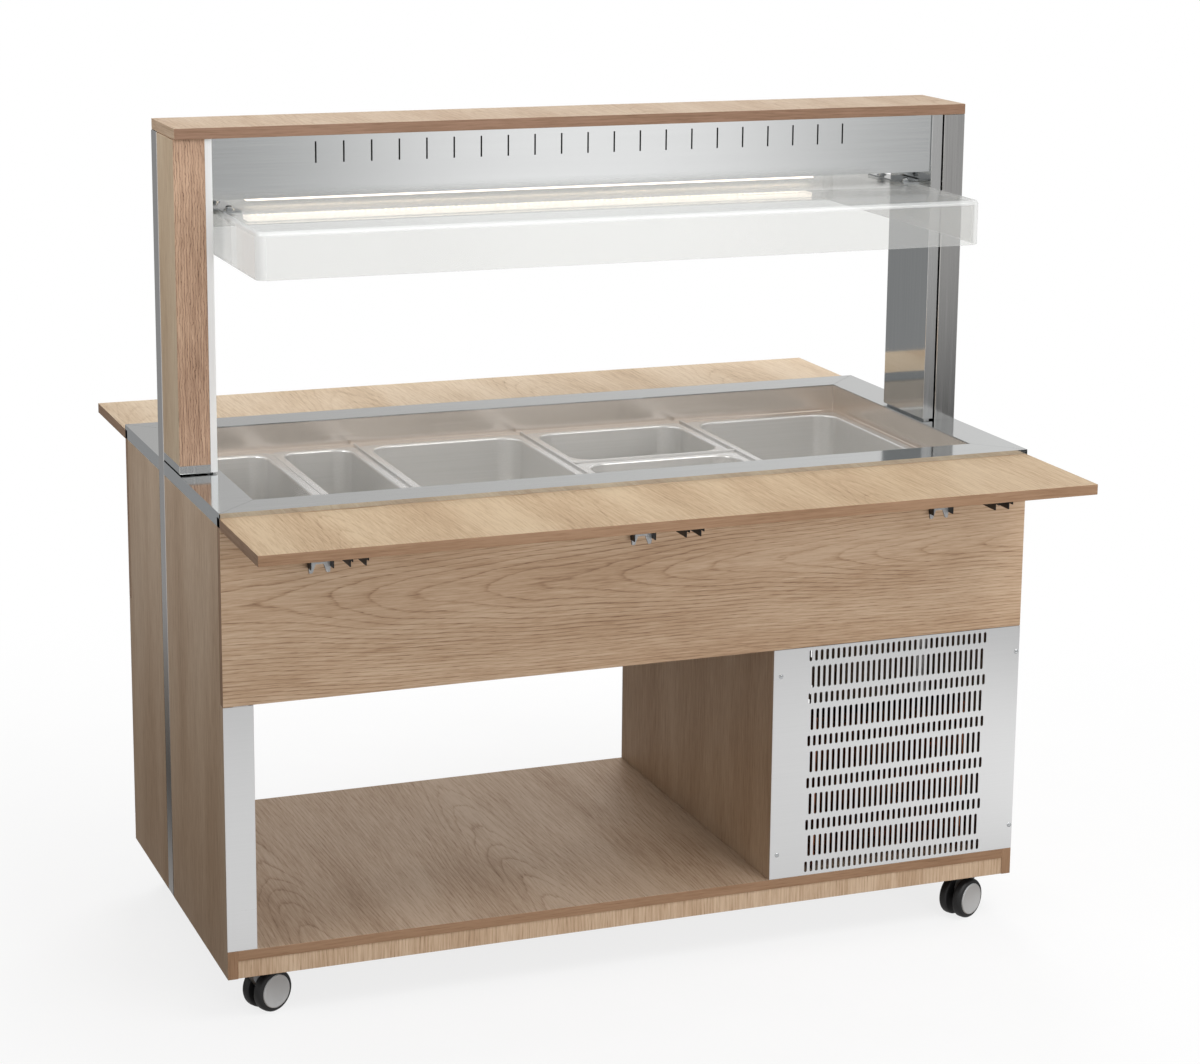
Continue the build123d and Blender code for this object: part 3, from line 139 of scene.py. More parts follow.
add(sky, "OutputWorld", {"Surface": add(sky, "MixShader", {0: eye, 1: soft, 2: seen})})


def soft_lamp(name, at, aim, width, depth, watts, mirrored=True, spread=180):
    """A large rectangular lamp that faces a point. Metal may be kept from mirroring it."""
    data = bpy.data.lights.new(name, "AREA")
    data.shape = "RECTANGLE"
    data.size, data.size_y = width, depth
    data.energy = watts
    data.spread = radians(spread)
    lamp = bpy.data.objects.new(name, data)
    lamp.location = at
    lamp.rotation_euler = (Vector(aim) - Vector(at)).to_track_quat("-Z", "Y").to_euler()
    lamp.visible_glossy = mirrored
    scene.collection.objects.link(lamp)


soft_lamp("main_lamp", (1.25, -2.5, 4.2), (0.0, 0.0, 0.7), 2.6, 1.8, 68)
soft_lamp("left_lamp", (-2.5, -0.7, 2.8), (-0.75, 0.0, 1.6), 1.4, 1.4, 4.6, spread=55)
soft_lamp("front_lamp", (0.7, -3.8, 1.1), (0.1, 0.0, 0.6), 2.6, 1.4, 54, False)
soft_lamp("rear_lamp", (1.0, 3.2, 2.6), (0.1, 0.4, 0.6), 2.2, 1.6, 84, False)


def new_material(name):
    """An empty material, its node tree, and the place on the piece."""
    material = bpy.data.materials.new(name)
    material.use_nodes = True
    tree = material.node_tree
    tree.nodes.clear()
    return material, tree, add(tree, "TexCoord").outputs["Object"]


def floor_paint():
    """Matt white paper that turns into the white of the backdrop further out. The light it throws back is
    painted dark and warm near the cart, a painted shade. Metal sees painted shade on it beside the cart and
    painted light in front, brightest to the right."""
    material, tree, place_in = new_material("matt_white_paper")
    ray = add(tree, "LightPath")
    reach = add(tree, "VectorMath", {0: place_in}, operation="LENGTH").outputs["Value"]
    apart = add(tree, "SeparateXYZ", {0: place_in})
    sideways, rearward = apart.outputs["X"], apart.outputs["Y"]
    off_centre = add(tree, "Math", {0: sideways}, operation="ABSOLUTE")
    near, away, past_edge, outside, rightward, behind_front = [
        add(tree, "MapRange", {"Value": value, "From Min": low, "From Max": high}) for value, low, high in (
            (reach, 0.8, FLOOR_REACH), (reach, 0.9, FLOOR_REACH), (reach, 2.0, FLOOR_REACH - 0.1),
            (off_centre, 0.75, 0.95), (sideways, 0.7, 1.25), (rearward, -0.75, -0.2))]

    grain = add(tree, "TexNoise", {"Vector": place_in, "Scale": 6.0, "Detail": 4.0})
    paper = add(tree, "ValToRGB", {0: grain}, stops=[(0.3, "#F2F2F2"), (0.7, "#F6F6F6")])
    matt = add(tree, "BsdfDiffuse", {"Color": paper})
    white = add(tree, "Emission", {"Color": linear("#FFFFFF"), "Strength": 1.0})
    outward = add(tree, "MapRange", {"Value": reach, "From Min": 0.8, "From Max": 2.4, "To Min": 0.80})
    seen_paper = add(tree, "MixShader", {0: outward, 1: matt, 2: white})

    # Painted shade: the light thrown back is dark and warm near the cart and lighter further out.
    painted_bounce_shade = add(tree, "ValToRGB", {0: away}, stops=[(0.0, "#6E4A14"), (0.4, "#5A4628"), (1.0, "#6E6250")])
    thrown = add(tree, "BsdfDiffuse", {"Color": painted_bounce_shade})

    # Painted shade and painted light for metal: near black beside the cart, lighter behind, brightest to the
    # right in front.
    beside = add(tree, "ValToRGB", {0: near}, stops=[
        (0.0, "#12100E"), (0.12, "#2A2724"), (0.35, "#66625E"), (1.0, "#B0AEAD")])
    to_the_rear = add(tree, "ValToRGB", {0: near}, stops=[(0.0, "#A9A7A5"), (1.0, "#C6C5C4")])
    behind = add(tree, "Mix", {"Factor": outside, "A": to_the_rear, "B": beside}, data_type="RGBA")
    in_front = add(tree, "ValToRGB", {0: rightward}, stops=[(0.0, "#E1E1E1"), (1.0, "#FFFFFF")])
    mirrored_tone = add(tree, "Mix", {"Factor": behind_front, "A": in_front, "B": behind}, data_type="RGBA")
    bright = add(tree, "Emission", {"Color": mirrored_tone, "Strength": 1.0})
    beyond = add(tree, "BsdfTransparent", {"Color": linear("#FFFFFF")})
    mirrored_floor = add(tree, "MixShader", {0: past_edge, 1: bright, 2: beyond})

    dull = add(tree, "MixShader", {0: ray.outputs["Is Diffuse Ray"], 1: seen_paper, 2: thrown})
    final = add(tree, "MixShader", {0: ray.outputs["Is Glossy Ray"], 1: dull, 2: mirrored_floor})
    add(tree, "OutputMaterial", {"Surface": final})
    return material


FLOOR_REACH = 3.4
paper_shape = bmesh.new()
bmesh.ops.create_circle(paper_shape, cap_ends=True, segments=96, radius=FLOOR_REACH)
floor_mesh = bpy.data.meshes.new("floor")
paper_shape.to_mesh(floor_mesh)
paper_shape.free()
floor_mesh.materials.append(floor_paint())
floor = bpy.data.objects.new("floor", floor_mesh)
scene.collection.objects.link(floor)

# The camera stands at the front left, at eye height, and looks down on the counter.
# Its place, turn and lens are the photograph's own, for a frame 1200 wide and 1064 high.
CAMERA_PLACE = Vector((-1.8349, -4.8829, 2.0484))
YAW, PITCH, ROLL = radians(21.192), radians(-12.279), radians(0.551)
ahead = Vector((sin(YAW) * cos(PITCH), cos(YAW) * cos(PITCH), sin(PITCH)))
level = Vector((cos(YAW), -sin(YAW), 0.0))
upward = level.cross(ahead)
right = cos(ROLL) * level + sin(ROLL) * upward
above = cos(ROLL) * upward - sin(ROLL) * level
camera_data = bpy.data.cameras.new("camera")
camera_data.sensor_width = 36.0
camera_data.lens = 87.01
camera_data.shift_y = -0.085
camera_data.clip_end = 60.0
camera = bpy.data.objects.new("camera", camera_data)
camera.matrix_world = Matrix((
    (right.x, above.x, -ahead.x, CAMERA_PLACE.x),
    (right.y, above.y, -ahead.y, CAMERA_PLACE.y),
    (right.z, above.z, -ahead.z, CAMERA_PLACE.z),
    (0, 0, 0, 1)))
scene.collection.objects.link(camera)
scene.camera = camera

# Base board and plinth rails: chipboard with an oak decor pressed on, and edges banded in a redder oak.
# The floor of the bay shows grain that runs from front to back. The rails under it have upright grain.


def merged_copy(node):
    """A copy of a constructed piece's mesh with its loose triangles joined and its flat faces whole."""
    shape = bmesh.new()
    shape.from_mesh(frame["nodes"][node].data)
    bmesh.ops.remove_doubles(shape, verts=shape.verts, dist=2e-6)
    bmesh.ops.dissolve_limit(shape, angle_limit=radians(0.4), verts=shape.verts, edges=shape.edges)
    return shape


def ease(shape, width, segments=2):
    """Round every sharp edge by a small width."""
    sharp = [edge for edge in shape.edges if edge.is_manifold and edge.calc_face_angle(0) > radians(40)]
    bmesh.ops.bevel(shape, geom=sharp, offset=width, segments=segments, affect="EDGES", profile=0.5,
                    clamp_overlap=True)


def soften(shape, angle=radians(35)):
    """Shade as one curve across every edge that turns less than the angle."""
    for face in shape.faces:
        face.smooth = True
    for edge in shape.edges:
        edge.smooth = edge.is_manifold and edge.calc_face_angle(0) < angle


def place(name, shape, materials, slot, *nodes, body=None):
    """Make a piece of a finished shape. It rides with the constructed pieces that it stands for."""
    mesh = bpy.data.meshes.new(name)
    shape.to_mesh(mesh)
    shape.free()
    for material in materials:
        mesh.materials.append(material)
    piece = bpy.data.objects.new(name, mesh)
    scene.collection.objects.link(piece)
    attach(piece, body or frame["nodes"][nodes[0]]["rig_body"])
    if nodes:
        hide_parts(*nodes)


OAK_SHADES = ("#D6BFA5", "#BFA387", "#8F7257")
OAK_BAND_SHADES = ("#A28267", "#917156", "#6F543E")


def oak(name, grain, facing, shift=(0.0, 0.0, 0.0), plank=0.36, shades=OAK_SHADES, lines=0.5, slope=0.055,
        heart=0.0, depth=0.02, wave=0.0034, ripple=9.0, year=0.0054):
    """Oak decor: the rings of a tapering log cut along its length. They arch where the cut is near the
    heart, and run straight where it is far from it. Fibres are drawn 4 mm apart and pores 1.5 mm
    apart, several times the real ones, so that they show."""
    material, tree, place_in = new_material(name)
    across = next(axis for axis in "XYZ" if axis not in (grain, facing))
    at = add(tree, "SeparateXYZ", {0: place_in})
    plank_space = add(tree, "CombineXYZ", {0: at.outputs[grain], 1: at.outputs[across],
                                           2: at.outputs[facing]})
    moved = add(tree, "Mapping", {"Vector": plank_space, "Location": shift})

    def streaks(scale, detail, roughness=0.5):
        """A noise drawn out along the grain."""
        drawn = add(tree, "Mapping", {"Vector": moved, "Scale": scale})
        return add(tree, "TexNoise", {"Vector": drawn, "Scale": 1.0, "Detail": detail,
                                      "Roughness": roughness})

    placed = add(tree, "SeparateXYZ", {0: moved})
    wander = add(tree, "Math", {0: streaks((1.3, 2.0, 2.0), 2.0), 1: 0.05, 2: placed.outputs["Y"]},
                 operation="MULTIPLY_ADD")
    in_plank = add(tree, "Math", {0: wander, 1: plank / 2}, operation="PINGPONG")
    from_heart = add(tree, "Math", {0: in_plank, 1: heart}, operation="ADD")
    cut = add(tree, "Math", {0: placed.outputs["X"], 1: slope, 2: depth}, operation="MULTIPLY_ADD")
    for scale, sway in (((1.1, 0.6, 0.6), 0.020), ((3.2, 2.0, 2.0), 0.016)):
        cut = add(tree, "Math", {0: streaks(scale, 1.0), 1: sway, 2: cut}, operation="MULTIPLY_ADD")
    off_heart = add(tree, "Math", {0: cut}, operation="ABSOLUTE")
    in_log = add(tree, "CombineXYZ", {0: from_heart, 1: off_heart})
    radius = add(tree, "VectorMath", {0: in_log}, operation="LENGTH").outputs["Value"]
    rippled = add(tree, "Math", {0: streaks((ripple, 60.0, 60.0), 3.0, 0.6), 1: wave, 2: radius},
                  operation="MULTIPLY_ADD")
    ages = add(tree, "Math", {0: rippled, 1: year}, operation="DIVIDE")
    season = add(tree, "Math", {0: ages}, operation="FRACT")
    porous = add(tree, "ValToRGB", {0: season}, stops=[
        (0.0, "#606060"), (0.06, "#FFFFFF"), (0.16, "#9A9A9A"), (0.34, "#242424"),
        (0.92, "#000000"), (1.0, "#606060")])

    pores = add(tree, "MapRange", {"Value": streaks((34.0, 760.0, 760.0), 2.0, 0.6), "From Min": 0.50,
                                   "From Max": 0.70})
    strong = add(tree, "Math", {0: streaks((0.8, 16.0, 16.0), 2.0), 1: 1.2 * lines}, operation="MULTIPLY")
    rings = add(tree, "Math", {0: porous, 1: strong}, operation="MULTIPLY")
    broken = add(tree, "Math", {0: pores, 1: 0.60, 2: 0.55}, operation="MULTIPLY_ADD")
    tone = add(tree, "Math", {0: rings, 1: broken}, operation="MULTIPLY")
    patches, fibres = streaks((1.6, 11.0, 11.0), 3.0), streaks((12.0, 240.0, 240.0), 3.0, 0.7)
    for layer, weight in ((fibres, 0.86), (patches, 0.75), (pores, 0.16)):
        tone = add(tree, "Math", {0: layer, 1: weight, 2: tone}, operation="MULTIPLY_ADD")
    light, middle, dark = shades
    darkness = add(tree, "MapRange", {"Value": tone, "From Min": 0.67, "From Max": 1.37})
    colour = add(tree, "ValToRGB", {0: darkness}, stops=[(0.0, light), (0.42, middle), (1.0, dark)])
    shine = add(tree, "Math", {0: tone, 1: 0.16, 2: 0.38}, operation="MULTIPLY_ADD")
    high_spots = add(tree, "Math", {0: 1.0, 1: tone}, operation="SUBTRACT")
    relief = add(tree, "Bump", {"Strength": 0.20, "Distance": 0.0003, "Height": high_spots})
    shader = add(tree, "BsdfPrincipled", {"Base Color": colour, "Roughness": shine, "Normal": relief})
    add(tree, "OutputMaterial", {"Surface": shader})
    return material


BOARD_EDGE = 0.0007
BAND_WAYS = (("lengthwise", "X", "Y", (0.2, 0.4, 0)), ("crosswise", "Y", "X", (0.5, 0.1, 0)),
             ("upright", "Z", "Y", (0.9, 0.3, 0)))
band_x, band_y, band_z = [
    oak("banded_oak_" + way, grain, facing, shift, shades=OAK_BAND_SHADES, lines=0.3, heart=0.1)
    for way, grain, facing, shift in BAND_WAYS]


def board(node, along_x, along_y, along_z):
    """Stand a finished board on a constructed one. Each finish covers the faces that look along its axis."""
    shape = merged_copy(node)
    ease(shape, BOARD_EDGE)
    for face in shape.faces:
        sizes = [abs(part) for part in face.normal]
        face.material_index = sizes.index(max(sizes))
    place(node + "_board", shape, [along_x, along_y, along_z], "oak", node)


# The bay floor takes a darker copy of the oak decor: painted shade inside the bay.
shaded_bay_oak = oak("oak_decor_bay_floor_painted_shade", "Y", "Z", (1.3, 0.12, 0.0), plank=0.44,
              shades=("#C3AC95", "#AD937A", "#82664F"), lines=0.6)
plinth_oak = oak("oak_decor_plinth", "Z", "Y", (0.4, 0.6, 0.0), plank=0.24, lines=0.5, heart=0.06)
board("base_board", band_y, band_x, shaded_bay_oak)
board("plinth_rails", band_z, plinth_oak, band_x)

# Casters: twin wheels with black rubber tyres and grey hub covers, on a grey moulded fork that swivels
# under a steel plate. The two rear ones have a pedal that presses on the wheels.
MM = 0.001


def lathe(shape, profile, finish, steps=72):
    """Turn a profile of (distance along the axis, radius) in millimetres round the Y axis, in one finish."""
    rings = []
    for along, radius in profile:
        turns = [2 * pi * i / steps for i in range(steps if radius else 1)]
        rings.append([shape.verts.new((radius * MM * cos(turn), along * MM, radius * MM * sin(turn)))
                      for turn in turns])
    for first, second in zip(rings, rings[1:]):
        for i in range(steps):
            j = (i + 1) % steps
            corners = [first[i % len(first)], first[j % len(first)], second[j % len(second)],
                       second[i % len(second)]]
            face = shape.faces.new([v for k, v in enumerate(corners) if v not in corners[:k]])
            face.material_index = finish


def coat(name, tones, cloud, grain=None, relief=0.0, depth=0.0002, roughness=0.38, spread=0.0, metallic=0.0,
         glow=0.0):
    """Tones in soft clouds, with a finer grain in the relief and the gloss. Cloud and grain are each the
    scale and the detail of a noise, and the grain adds as much as the spread to the roughness."""
    material, tree, place_in = new_material(name)
    cloudy, fine = [add(tree, "TexNoise", {"Vector": place_in, "Scale": scale, "Detail": detail})
                    for scale, detail in (cloud, grain or cloud)]
    inputs = {"Base Color": add(tree, "ValToRGB", {0: cloudy}, stops=tones), "Metallic": metallic,
              "Roughness": roughness}
    if glow:
        inputs |= {"Emission Color": inputs["Base Color"], "Emission Strength": glow}
    if spread:
        inputs["Roughness"] = add(tree, "Math", {0: fine, 1: spread, 2: roughness}, operation="MULTIPLY_ADD")
    if relief:
        inputs["Normal"] = add(tree, "Bump", {"Strength": relief, "Distance": depth, "Height": fine})
    add(tree, "OutputMaterial", {"Surface": add(tree, "BsdfPrincipled", inputs)})
    return material


def moulded_plastic(name, dark, light, roughness=0.38):
    """Injection moulded plastic with a fine spark texture, 1 mm across."""
    return coat(name, [(0.3, dark), (0.7, light)], (12.0, 2.0), (900.0, 2.0), relief=0.08,
                roughness=roughness - 0.08, spread=0.16)


def steel(name, dark, light, roughness, grain="X", depth=0.06, metallic=1.0):
    """Stainless sheet, rolled and brushed one way. The brush lines are drawn 2 mm apart so that they show."""
    material, tree, place_in = new_material(name)
    coarse = {axis: (4.0 if axis == grain else 480.0) for axis in "XYZ"}
    drawn = add(tree, "Mapping", {"Vector": place_in, "Scale": tuple(coarse.values())})
    brush = add(tree, "TexNoise", {"Vector": drawn, "Scale": 1.0, "Detail": 3.0, "Roughness": 0.6})
    colour = add(tree, "ValToRGB", {0: brush}, stops=[(0.25, dark), (0.75, light)])
    relief = add(tree, "Bump", {"Strength": depth, "Distance": 0.0002, "Height": brush})
    shine = add(tree, "Math", {0: brush, 1: 0.10, 2: roughness - 0.05}, operation="MULTIPLY_ADD")
    shader = add(tree, "BsdfPrincipled", {"Base Color": colour, "Metallic": metallic, "Roughness": shine,
                                          "Normal": relief})
    add(tree, "OutputMaterial", {"Surface": shader})
    return material


# Moulded rubber is near black and dull, with a faint grain of 2 mm.
tyre_rubber = coat("moulded_black_rubber", [(0.3, "#101011"), (0.75, "#1E1E1F")], (500.0, 3.0), relief=0.2,
                   roughness=0.40, spread=0.2)
hub_plastic = moulded_plastic("moulded_grey_plastic", "#B4B6B7", "#C2C4C5", 0.34)
fork_plastic = moulded_plastic("moulded_dark_grey_plastic", "#7C7F81", "#8C8F91", 0.36)
pedal_plastic = moulded_plastic("moulded_black_plastic", "#1B1B1C", "#262627", 0.42)
zinc_plate = steel("zinc_plated_steel", "#B4B7B8", "#CBCDCE", 0.30, "X")

TYRE = [(7, 0), (7, 30), (7, 34.6), (7.6, 36.3), (9.2, 37.3), (11.5, 37.5), (18.0, 37.5), (20.6, 37.0),
        (22.8, 35.6), (24.3, 33.2), (24.9, 30.6), (24.4, 29.6)]
COVER = [(24.4, 29.6), (25.0, 29.2), (26.0, 28.9), (26.4, 28.2), (26.5, 27.2), (26.2, 26.6), (26.2, 4.0),
         (26.2, 0)]
AXLE = [(-8, 0), (-8, 4), (8, 4), (8, 0)]


def join(shape, part):
    """Add a closed part to a shape."""
    bmesh.ops.recalc_face_normals(part, faces=part.faces)
    made = bpy.data.meshes.new("part")
    part.to_mesh(made)
    part.free()
    shape.from_mesh(made)
    bpy.data.meshes.remove(made)


def caster_wheel(node):
    """Two tyred wheels with their covers, and the axle between them, where the constructed pair is."""
    shape = bmesh.new()
    for side in (-1, 1):
        half = bmesh.new()
        lathe(half, TYRE, 0)
        lathe(half, COVER, 1)
        bmesh.ops.remove_doubles(half, verts=half.verts, dist=1e-6)
        bmesh.ops.scale(half, vec=(1, side, 1), verts=half.verts)
        join(shape, half)
    axle = bmesh.new()
    lathe(axle, AXLE, 2, 24)
    join(shape, axle)
    body = frame["nodes"][node]["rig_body"]
    roll = next(joint for joint in frame["joints"] if joint["child"] == body)
    low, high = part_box(node)
    turn = Vector((0, 1, 0)).rotation_difference(Vector(roll["axis"]))
    bmesh.ops.transform(shape, matrix=Matrix.Translation((low + high) / 2) @ turn.to_matrix().to_4x4(),
                        verts=shape.verts)
    soften(shape, radians(40))
    place(node + "_tyred", shape, [tyre_rubber, hub_plastic, zinc_plate], "caster_tyre", node)


def finished(node, materials, slot="stainless_steel", edge=0.0, pick=None):
    """Stand a finished copy on a constructed piece: edges eased, curves shaded smooth, faces given finishes
    by their middle and their normal."""
    shape = merged_copy(node)
    if edge:
        ease(shape, edge, 1)
    soften(shape)
    if pick:
        for face in shape.faces:
            face.material_index = pick(face.calc_center_median(), face.normal)
    place(node + "_finished", shape, materials, slot, node)


for corner in ("front_left", "front_right", "rear_left", "rear_right"):
    caster_wheel("caster_wheel_" + corner)
    finished("caster_fork_" + corner, [fork_plastic], "caster_grey", 0.0008)
for corner in ("rear_left", "rear_right"):
    finished("brake_pedal_" + corner, [pedal_plastic], "black_plastic", 0.0008)
finished("caster_plates", [zinc_plate], edge=0.0006)

# Side panels: two oak-faced boards on each side, with upright grain, parted by the steel upright.
# The uprights are square stainless tubes that carry the posts and the canopy.
side_oak = oak("oak_decor_sides", "Z", "X", (0.4, 0.9, 0.0), plank=0.52, lines=0.30, slope=0.02, heart=0.10)
board("side_panel_left", side_oak, band_z, band_x)
board("side_panel_right", side_oak, band_z, band_x)
upright_steel = steel("brushed_stainless_tube", "#CAC8C6", "#D8D6D4", 0.14, "Z", 0.012)
finished("corner_uprights", [upright_steel], edge=0.0012)

# Partition between the bay and the machine compartment: the same oak-faced board, with upright grain.
# It stands on the base board and carries the inner edges of both machine covers.
partition_oak = oak("oak_decor_partition", "Z", "X", (0.1, 0.2, 0.3), plank=0.40, lines=0.35, slope=0.03,
                    heart=0.08)
board("partition", partition_oak, band_z, band_x)

# Apron panels: oak-faced boards across the front and the rear, with grain along the cart.
# They hide the well, and the folding brackets of the shelves are screwed to them.
APRON_SHADES = ("#D6BDA2", "#BFA184", "#8A6B53")
apron_oak = oak("oak_decor_front", "X", "Y", (0.85, -0.155, 0.0), plank=0.6, shades=APRON_SHADES, lines=0.9,
                slope=-0.055, depth=0.09)
rear_oak = oak("oak_decor_rear", "X", "Y", (1.75, -0.12, 0.3), plank=0.6, shades=APRON_SHADES, lines=0.66)
board("front_panel", band_z, apron_oak, band_x)
board("rear_panel", band_z, rear_oak, band_x)

# Slotted covers of the machine compartment, and the corner plates of the bay: thin bright stainless sheet.
# The slots are punched, and the constructed covers stay in the picture with a finer finish.
cover_steel = steel("satin_stainless_cover", "#E7E7E7", "#EAEAEA", 0.30, "X", 0.004)


def repaint(node, material):
    """Give a constructed piece that stays its finish."""
    materials = frame["nodes"][node].data.materials
    materials.clear()
    materials.append(material)


repaint("front_grille", cover_steel)
repaint("rear_cover", cover_steel)
finished("corner_plates", [cover_steel], edge=0.0003)

# Cover screws: cross-headed pan screws of bright steel, one near each corner of both covers.
# One head is made and copied onto every place.
SCREW_RADIUS, SCREW_HEIGHT = 0.0045, 0.0022
screw_steel = steel("bright_screw_steel", "#B9BCBE", "#D8DADB", 0.16, "X", 0.02)


def socket_key(tree, name):
    """The identifier by which a modifier takes a tree's named input."""
    return next(item.identifier for item in tree.interface.items_tree if item.name == name)


def grown(tree, values, start=None):
    """The plain mesh that a geometry tree makes from its named inputs and a start mesh."""
    seed = bpy.data.objects.new("seed", start or bpy.data.meshes.new("seed"))
    scene.collection.objects.link(seed)
    modifier = seed.modifiers.new("grow", "NODES")
    modifier.node_group = tree
    for name, value in values.items():
        modifier[socket_key(tree, name)] = value
    bpy.context.view_layer.update()
    mesh = bpy.data.meshes.new_from_object(seed.evaluated_get(bpy.context.evaluated_depsgraph_get()))
    seed.modifiers.remove(modifier)
    bpy.data.objects.remove(seed)
    return mesh


def new_tree(name, inputs):
    """A geometry tree with a Geometry input and output and the named inputs."""
    tree = bpy.data.node_groups.new(name, "GeometryNodeTree")
    tree.interface.new_socket("Geometry", in_out="INPUT", socket_type="NodeSocketGeometry")
    for title, kind in inputs.items():
        tree.interface.new_socket(title, in_out="INPUT", socket_type=kind)
    tree.interface.new_socket("Geometry", in_out="OUTPUT", socket_type="NodeSocketGeometry")
    return tree, add(tree, "NodeGroupInput")


def set_out(tree, given, inputs):
    """End a tree: copy an instance onto points, make the copies real and give them the material."""
    copies = add(tree, "GeometryNodeInstanceOnPoints", inputs)
    real = add(tree, "GeometryNodeRealizeInstances", {0: copies})
    painted = add(tree, "GeometryNodeSetMaterial", {"Geometry": real, "Material": given.outputs["Material"]})
    add(tree, "NodeGroupOutput", {0: painted})
    return tree


def screw_tree():
    """A domed head with a cross recess on every point of the start mesh."""
    tree, given = new_tree("screws_on_points", {"Radius": "NodeSocketFloat", "Height": "NodeSocketFloat",
                                                "Turn": "NodeSocketVector", "Material": "NodeSocketMaterial"})
    ball = add(tree, "GeometryNodeMeshUVSphere", {"Segments": 24, "Rings": 12,
                                                  "Radius": given.outputs["Radius"]})
    flatten = add(tree, "Math", {0: given.outputs["Height"], 1: given.outputs["Radius"]}, operation="DIVIDE")
    squash = add(tree, "CombineXYZ", {0: 1.0, 1: 1.0, 2: flatten})
    dome = add(tree, "GeometryNodeTransform", {"Geometry": ball, "Scale": squash})
    lift = add(tree, "CombineXYZ", {2: given.outputs["Radius"]})
    cross = add(tree, "GeometryNodeJoinGeometry")
    for shares in ((1.25, 0.24, 1.1), (0.24, 1.25, 1.1)):
        size = add(tree, "VectorMath", {0: shares, "Scale": given.outputs["Radius"]}, operation="SCALE")
        bar = add(tree, "GeometryNodeMeshCube", {"Size": size})
        raised = add(tree, "GeometryNodeTransform", {"Geometry": bar, "Translation": lift})
        tree.links.new(raised.outputs[0], cross.inputs[0])
    head = add(tree, "GeometryNodeMeshBoolean", {"Mesh 1": dome, "Mesh 2": cross}, operation="DIFFERENCE")
    return set_out(tree, given, {"Points": given.outputs["Geometry"], "Instance": head,
                                 "Rotation": given.outputs["Turn"]})


screw_maker = screw_tree()
cover_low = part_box("front_grille")[0]
screw_low, screw_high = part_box("panel_screws")
screw_shape = bmesh.new()
for side in (-1, 1):
    points = bpy.data.meshes.new("screw_places")
    across = [screw_low.x + SCREW_RADIUS, screw_high.x - SCREW_RADIUS]
    upright = [screw_low.z + SCREW_RADIUS, screw_high.z - SCREW_RADIUS]
    points.from_pydata([(x, -side * cover_low.y, z) for x in across for z in upright], [], [])
    heads = grown(screw_maker, {"Radius": SCREW_RADIUS, "Height": SCREW_HEIGHT,
                                "Turn": (-side * pi / 2, 0, 0), "Material": screw_steel}, points)
    screw_shape.from_mesh(heads)
soften(screw_shape)
place("cover_screws", screw_shape, [screw_steel], "stainless_steel", "panel_screws")

# Refrigeration set behind the grille: an enamelled compressor, copper pipes and drier, and a condenser
# of aluminium fins on copper tubes with its fan in a sheet shroud.
fin_aluminium = steel("mill_aluminium", "#A9ABAC", "#C2C4C5", 0.38, "Z")
galvanised = steel("galvanised_sheet", "#989C9E", "#B3B6B8", 0.42, "X", 0.04)

# Stoving enamel over pressed steel has a slight orange peel of 3 mm.
black_enamel = coat("black_stoved_enamel", [(0.4, "#141416"), (0.75, "#27272A")], (25.0, 4.0), (330.0, 2.0),
                    relief=0.15, depth=0.0003, roughness=0.24)

# Drawn copper tarnishes in patches of 40 mm.
copper_tube = coat("drawn_copper", [(0.35, "#C27A55"), (0.7, "#8A4B30")], (25.0, 5.0), roughness=0.12,
                   spread=0.4, metallic=1.0)
finished("compressor", [black_enamel], "black_steel", 0.0008)
finished("drier_and_pipes", [copper_tube], "copper")
finished("fan_shroud", [black_enamel], "black_steel", 0.0005)
finished("fan_blades", [fin_aluminium], "aluminium", 0.0004)


def row_tree():
    """A row of equal boxes, each one step from the last."""
    tree, given = new_tree("row_of_boxes", {"Count": "NodeSocketInt", "Start": "NodeSocketVector",
                                            "Step": "NodeSocketVector", "Size": "NodeSocketVector",
                                            "Material": "NodeSocketMaterial"})
    line = add(tree, "GeometryNodeMeshLine", {"Count": given.outputs["Count"],
                                              "Start Location": given.outputs["Start"],
                                              "Offset": given.outputs["Step"]})
    box = add(tree, "GeometryNodeMeshCube", {"Size": given.outputs["Size"]})
    return set_out(tree, given, {"Points": line, "Instance": box})


row_maker = row_tree()
FIN_PITCH, FIN_SHEET, END_SHEET, END_REACH, TUBE_RADIUS, TUBE_ROWS = 0.0036, 0.0004, 0.002, 0.008, 0.005, 5
coil_low, coil_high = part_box("condenser")
coil_middle, coil_size = (coil_low + coil_high) / 2, coil_high - coil_low
fin_left, fin_right = coil_low.x + END_REACH, coil_high.x - END_REACH
core_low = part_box("fan_shroud")[0].z
core_height = coil_high.z - core_low
condenser_shape = bmesh.new()
condenser_shape.from_mesh(grown(row_maker, {
    "Count": int((fin_right - fin_left) / FIN_PITCH), "Step": (FIN_PITCH, 0, 0), "Material": fin_aluminium,
    "Start": (fin_left + FIN_PITCH / 2, coil_middle.y, coil_high.z - core_height / 2),
    "Size": (FIN_SHEET, coil_size.y - END_SHEET, core_height - END_SHEET)}))
condenser_shape.from_mesh(grown(row_maker, {
    "Count": 2, "Step": (fin_right - fin_left, 0, 0), "Material": fin_aluminium,
    "Start": (fin_left, coil_middle.y, coil_middle.z), "Size": (END_SHEET, coil_size.y, coil_size.z)}))


def tube(shape, points, radius, finish, sides=12):
    """A round tube along a list of points, closed at both ends."""
    rings = []
    for index, point in enumerate(points):
        before, after = points[max(index - 1, 0)], points[min(index + 1, len(points) - 1)]
        heading = (after - before).normalized()
        side = side - heading * side.dot(heading) if rings else heading.orthogonal()
        side = side.normalized()
        other = heading.cross(side)
        turns = [2 * pi * i / sides for i in range(sides)]
        around = [point + radius * (cos(turn) * side + sin(turn) * other) for turn in turns]
        rings.append([shape.verts.new(spot) for spot in around])
    made = [shape.faces.new(rings[0][::-1]), shape.faces.new(rings[-1])]
    for first, second in zip(rings, rings[1:]):
        for i in range(sides):
            j = (i + 1) % sides
            made.append(shape.faces.new((first[i], first[j], second[j], second[i])))
    for face in made:
        face.material_index = finish
        face.smooth = len(face.verts) == 4


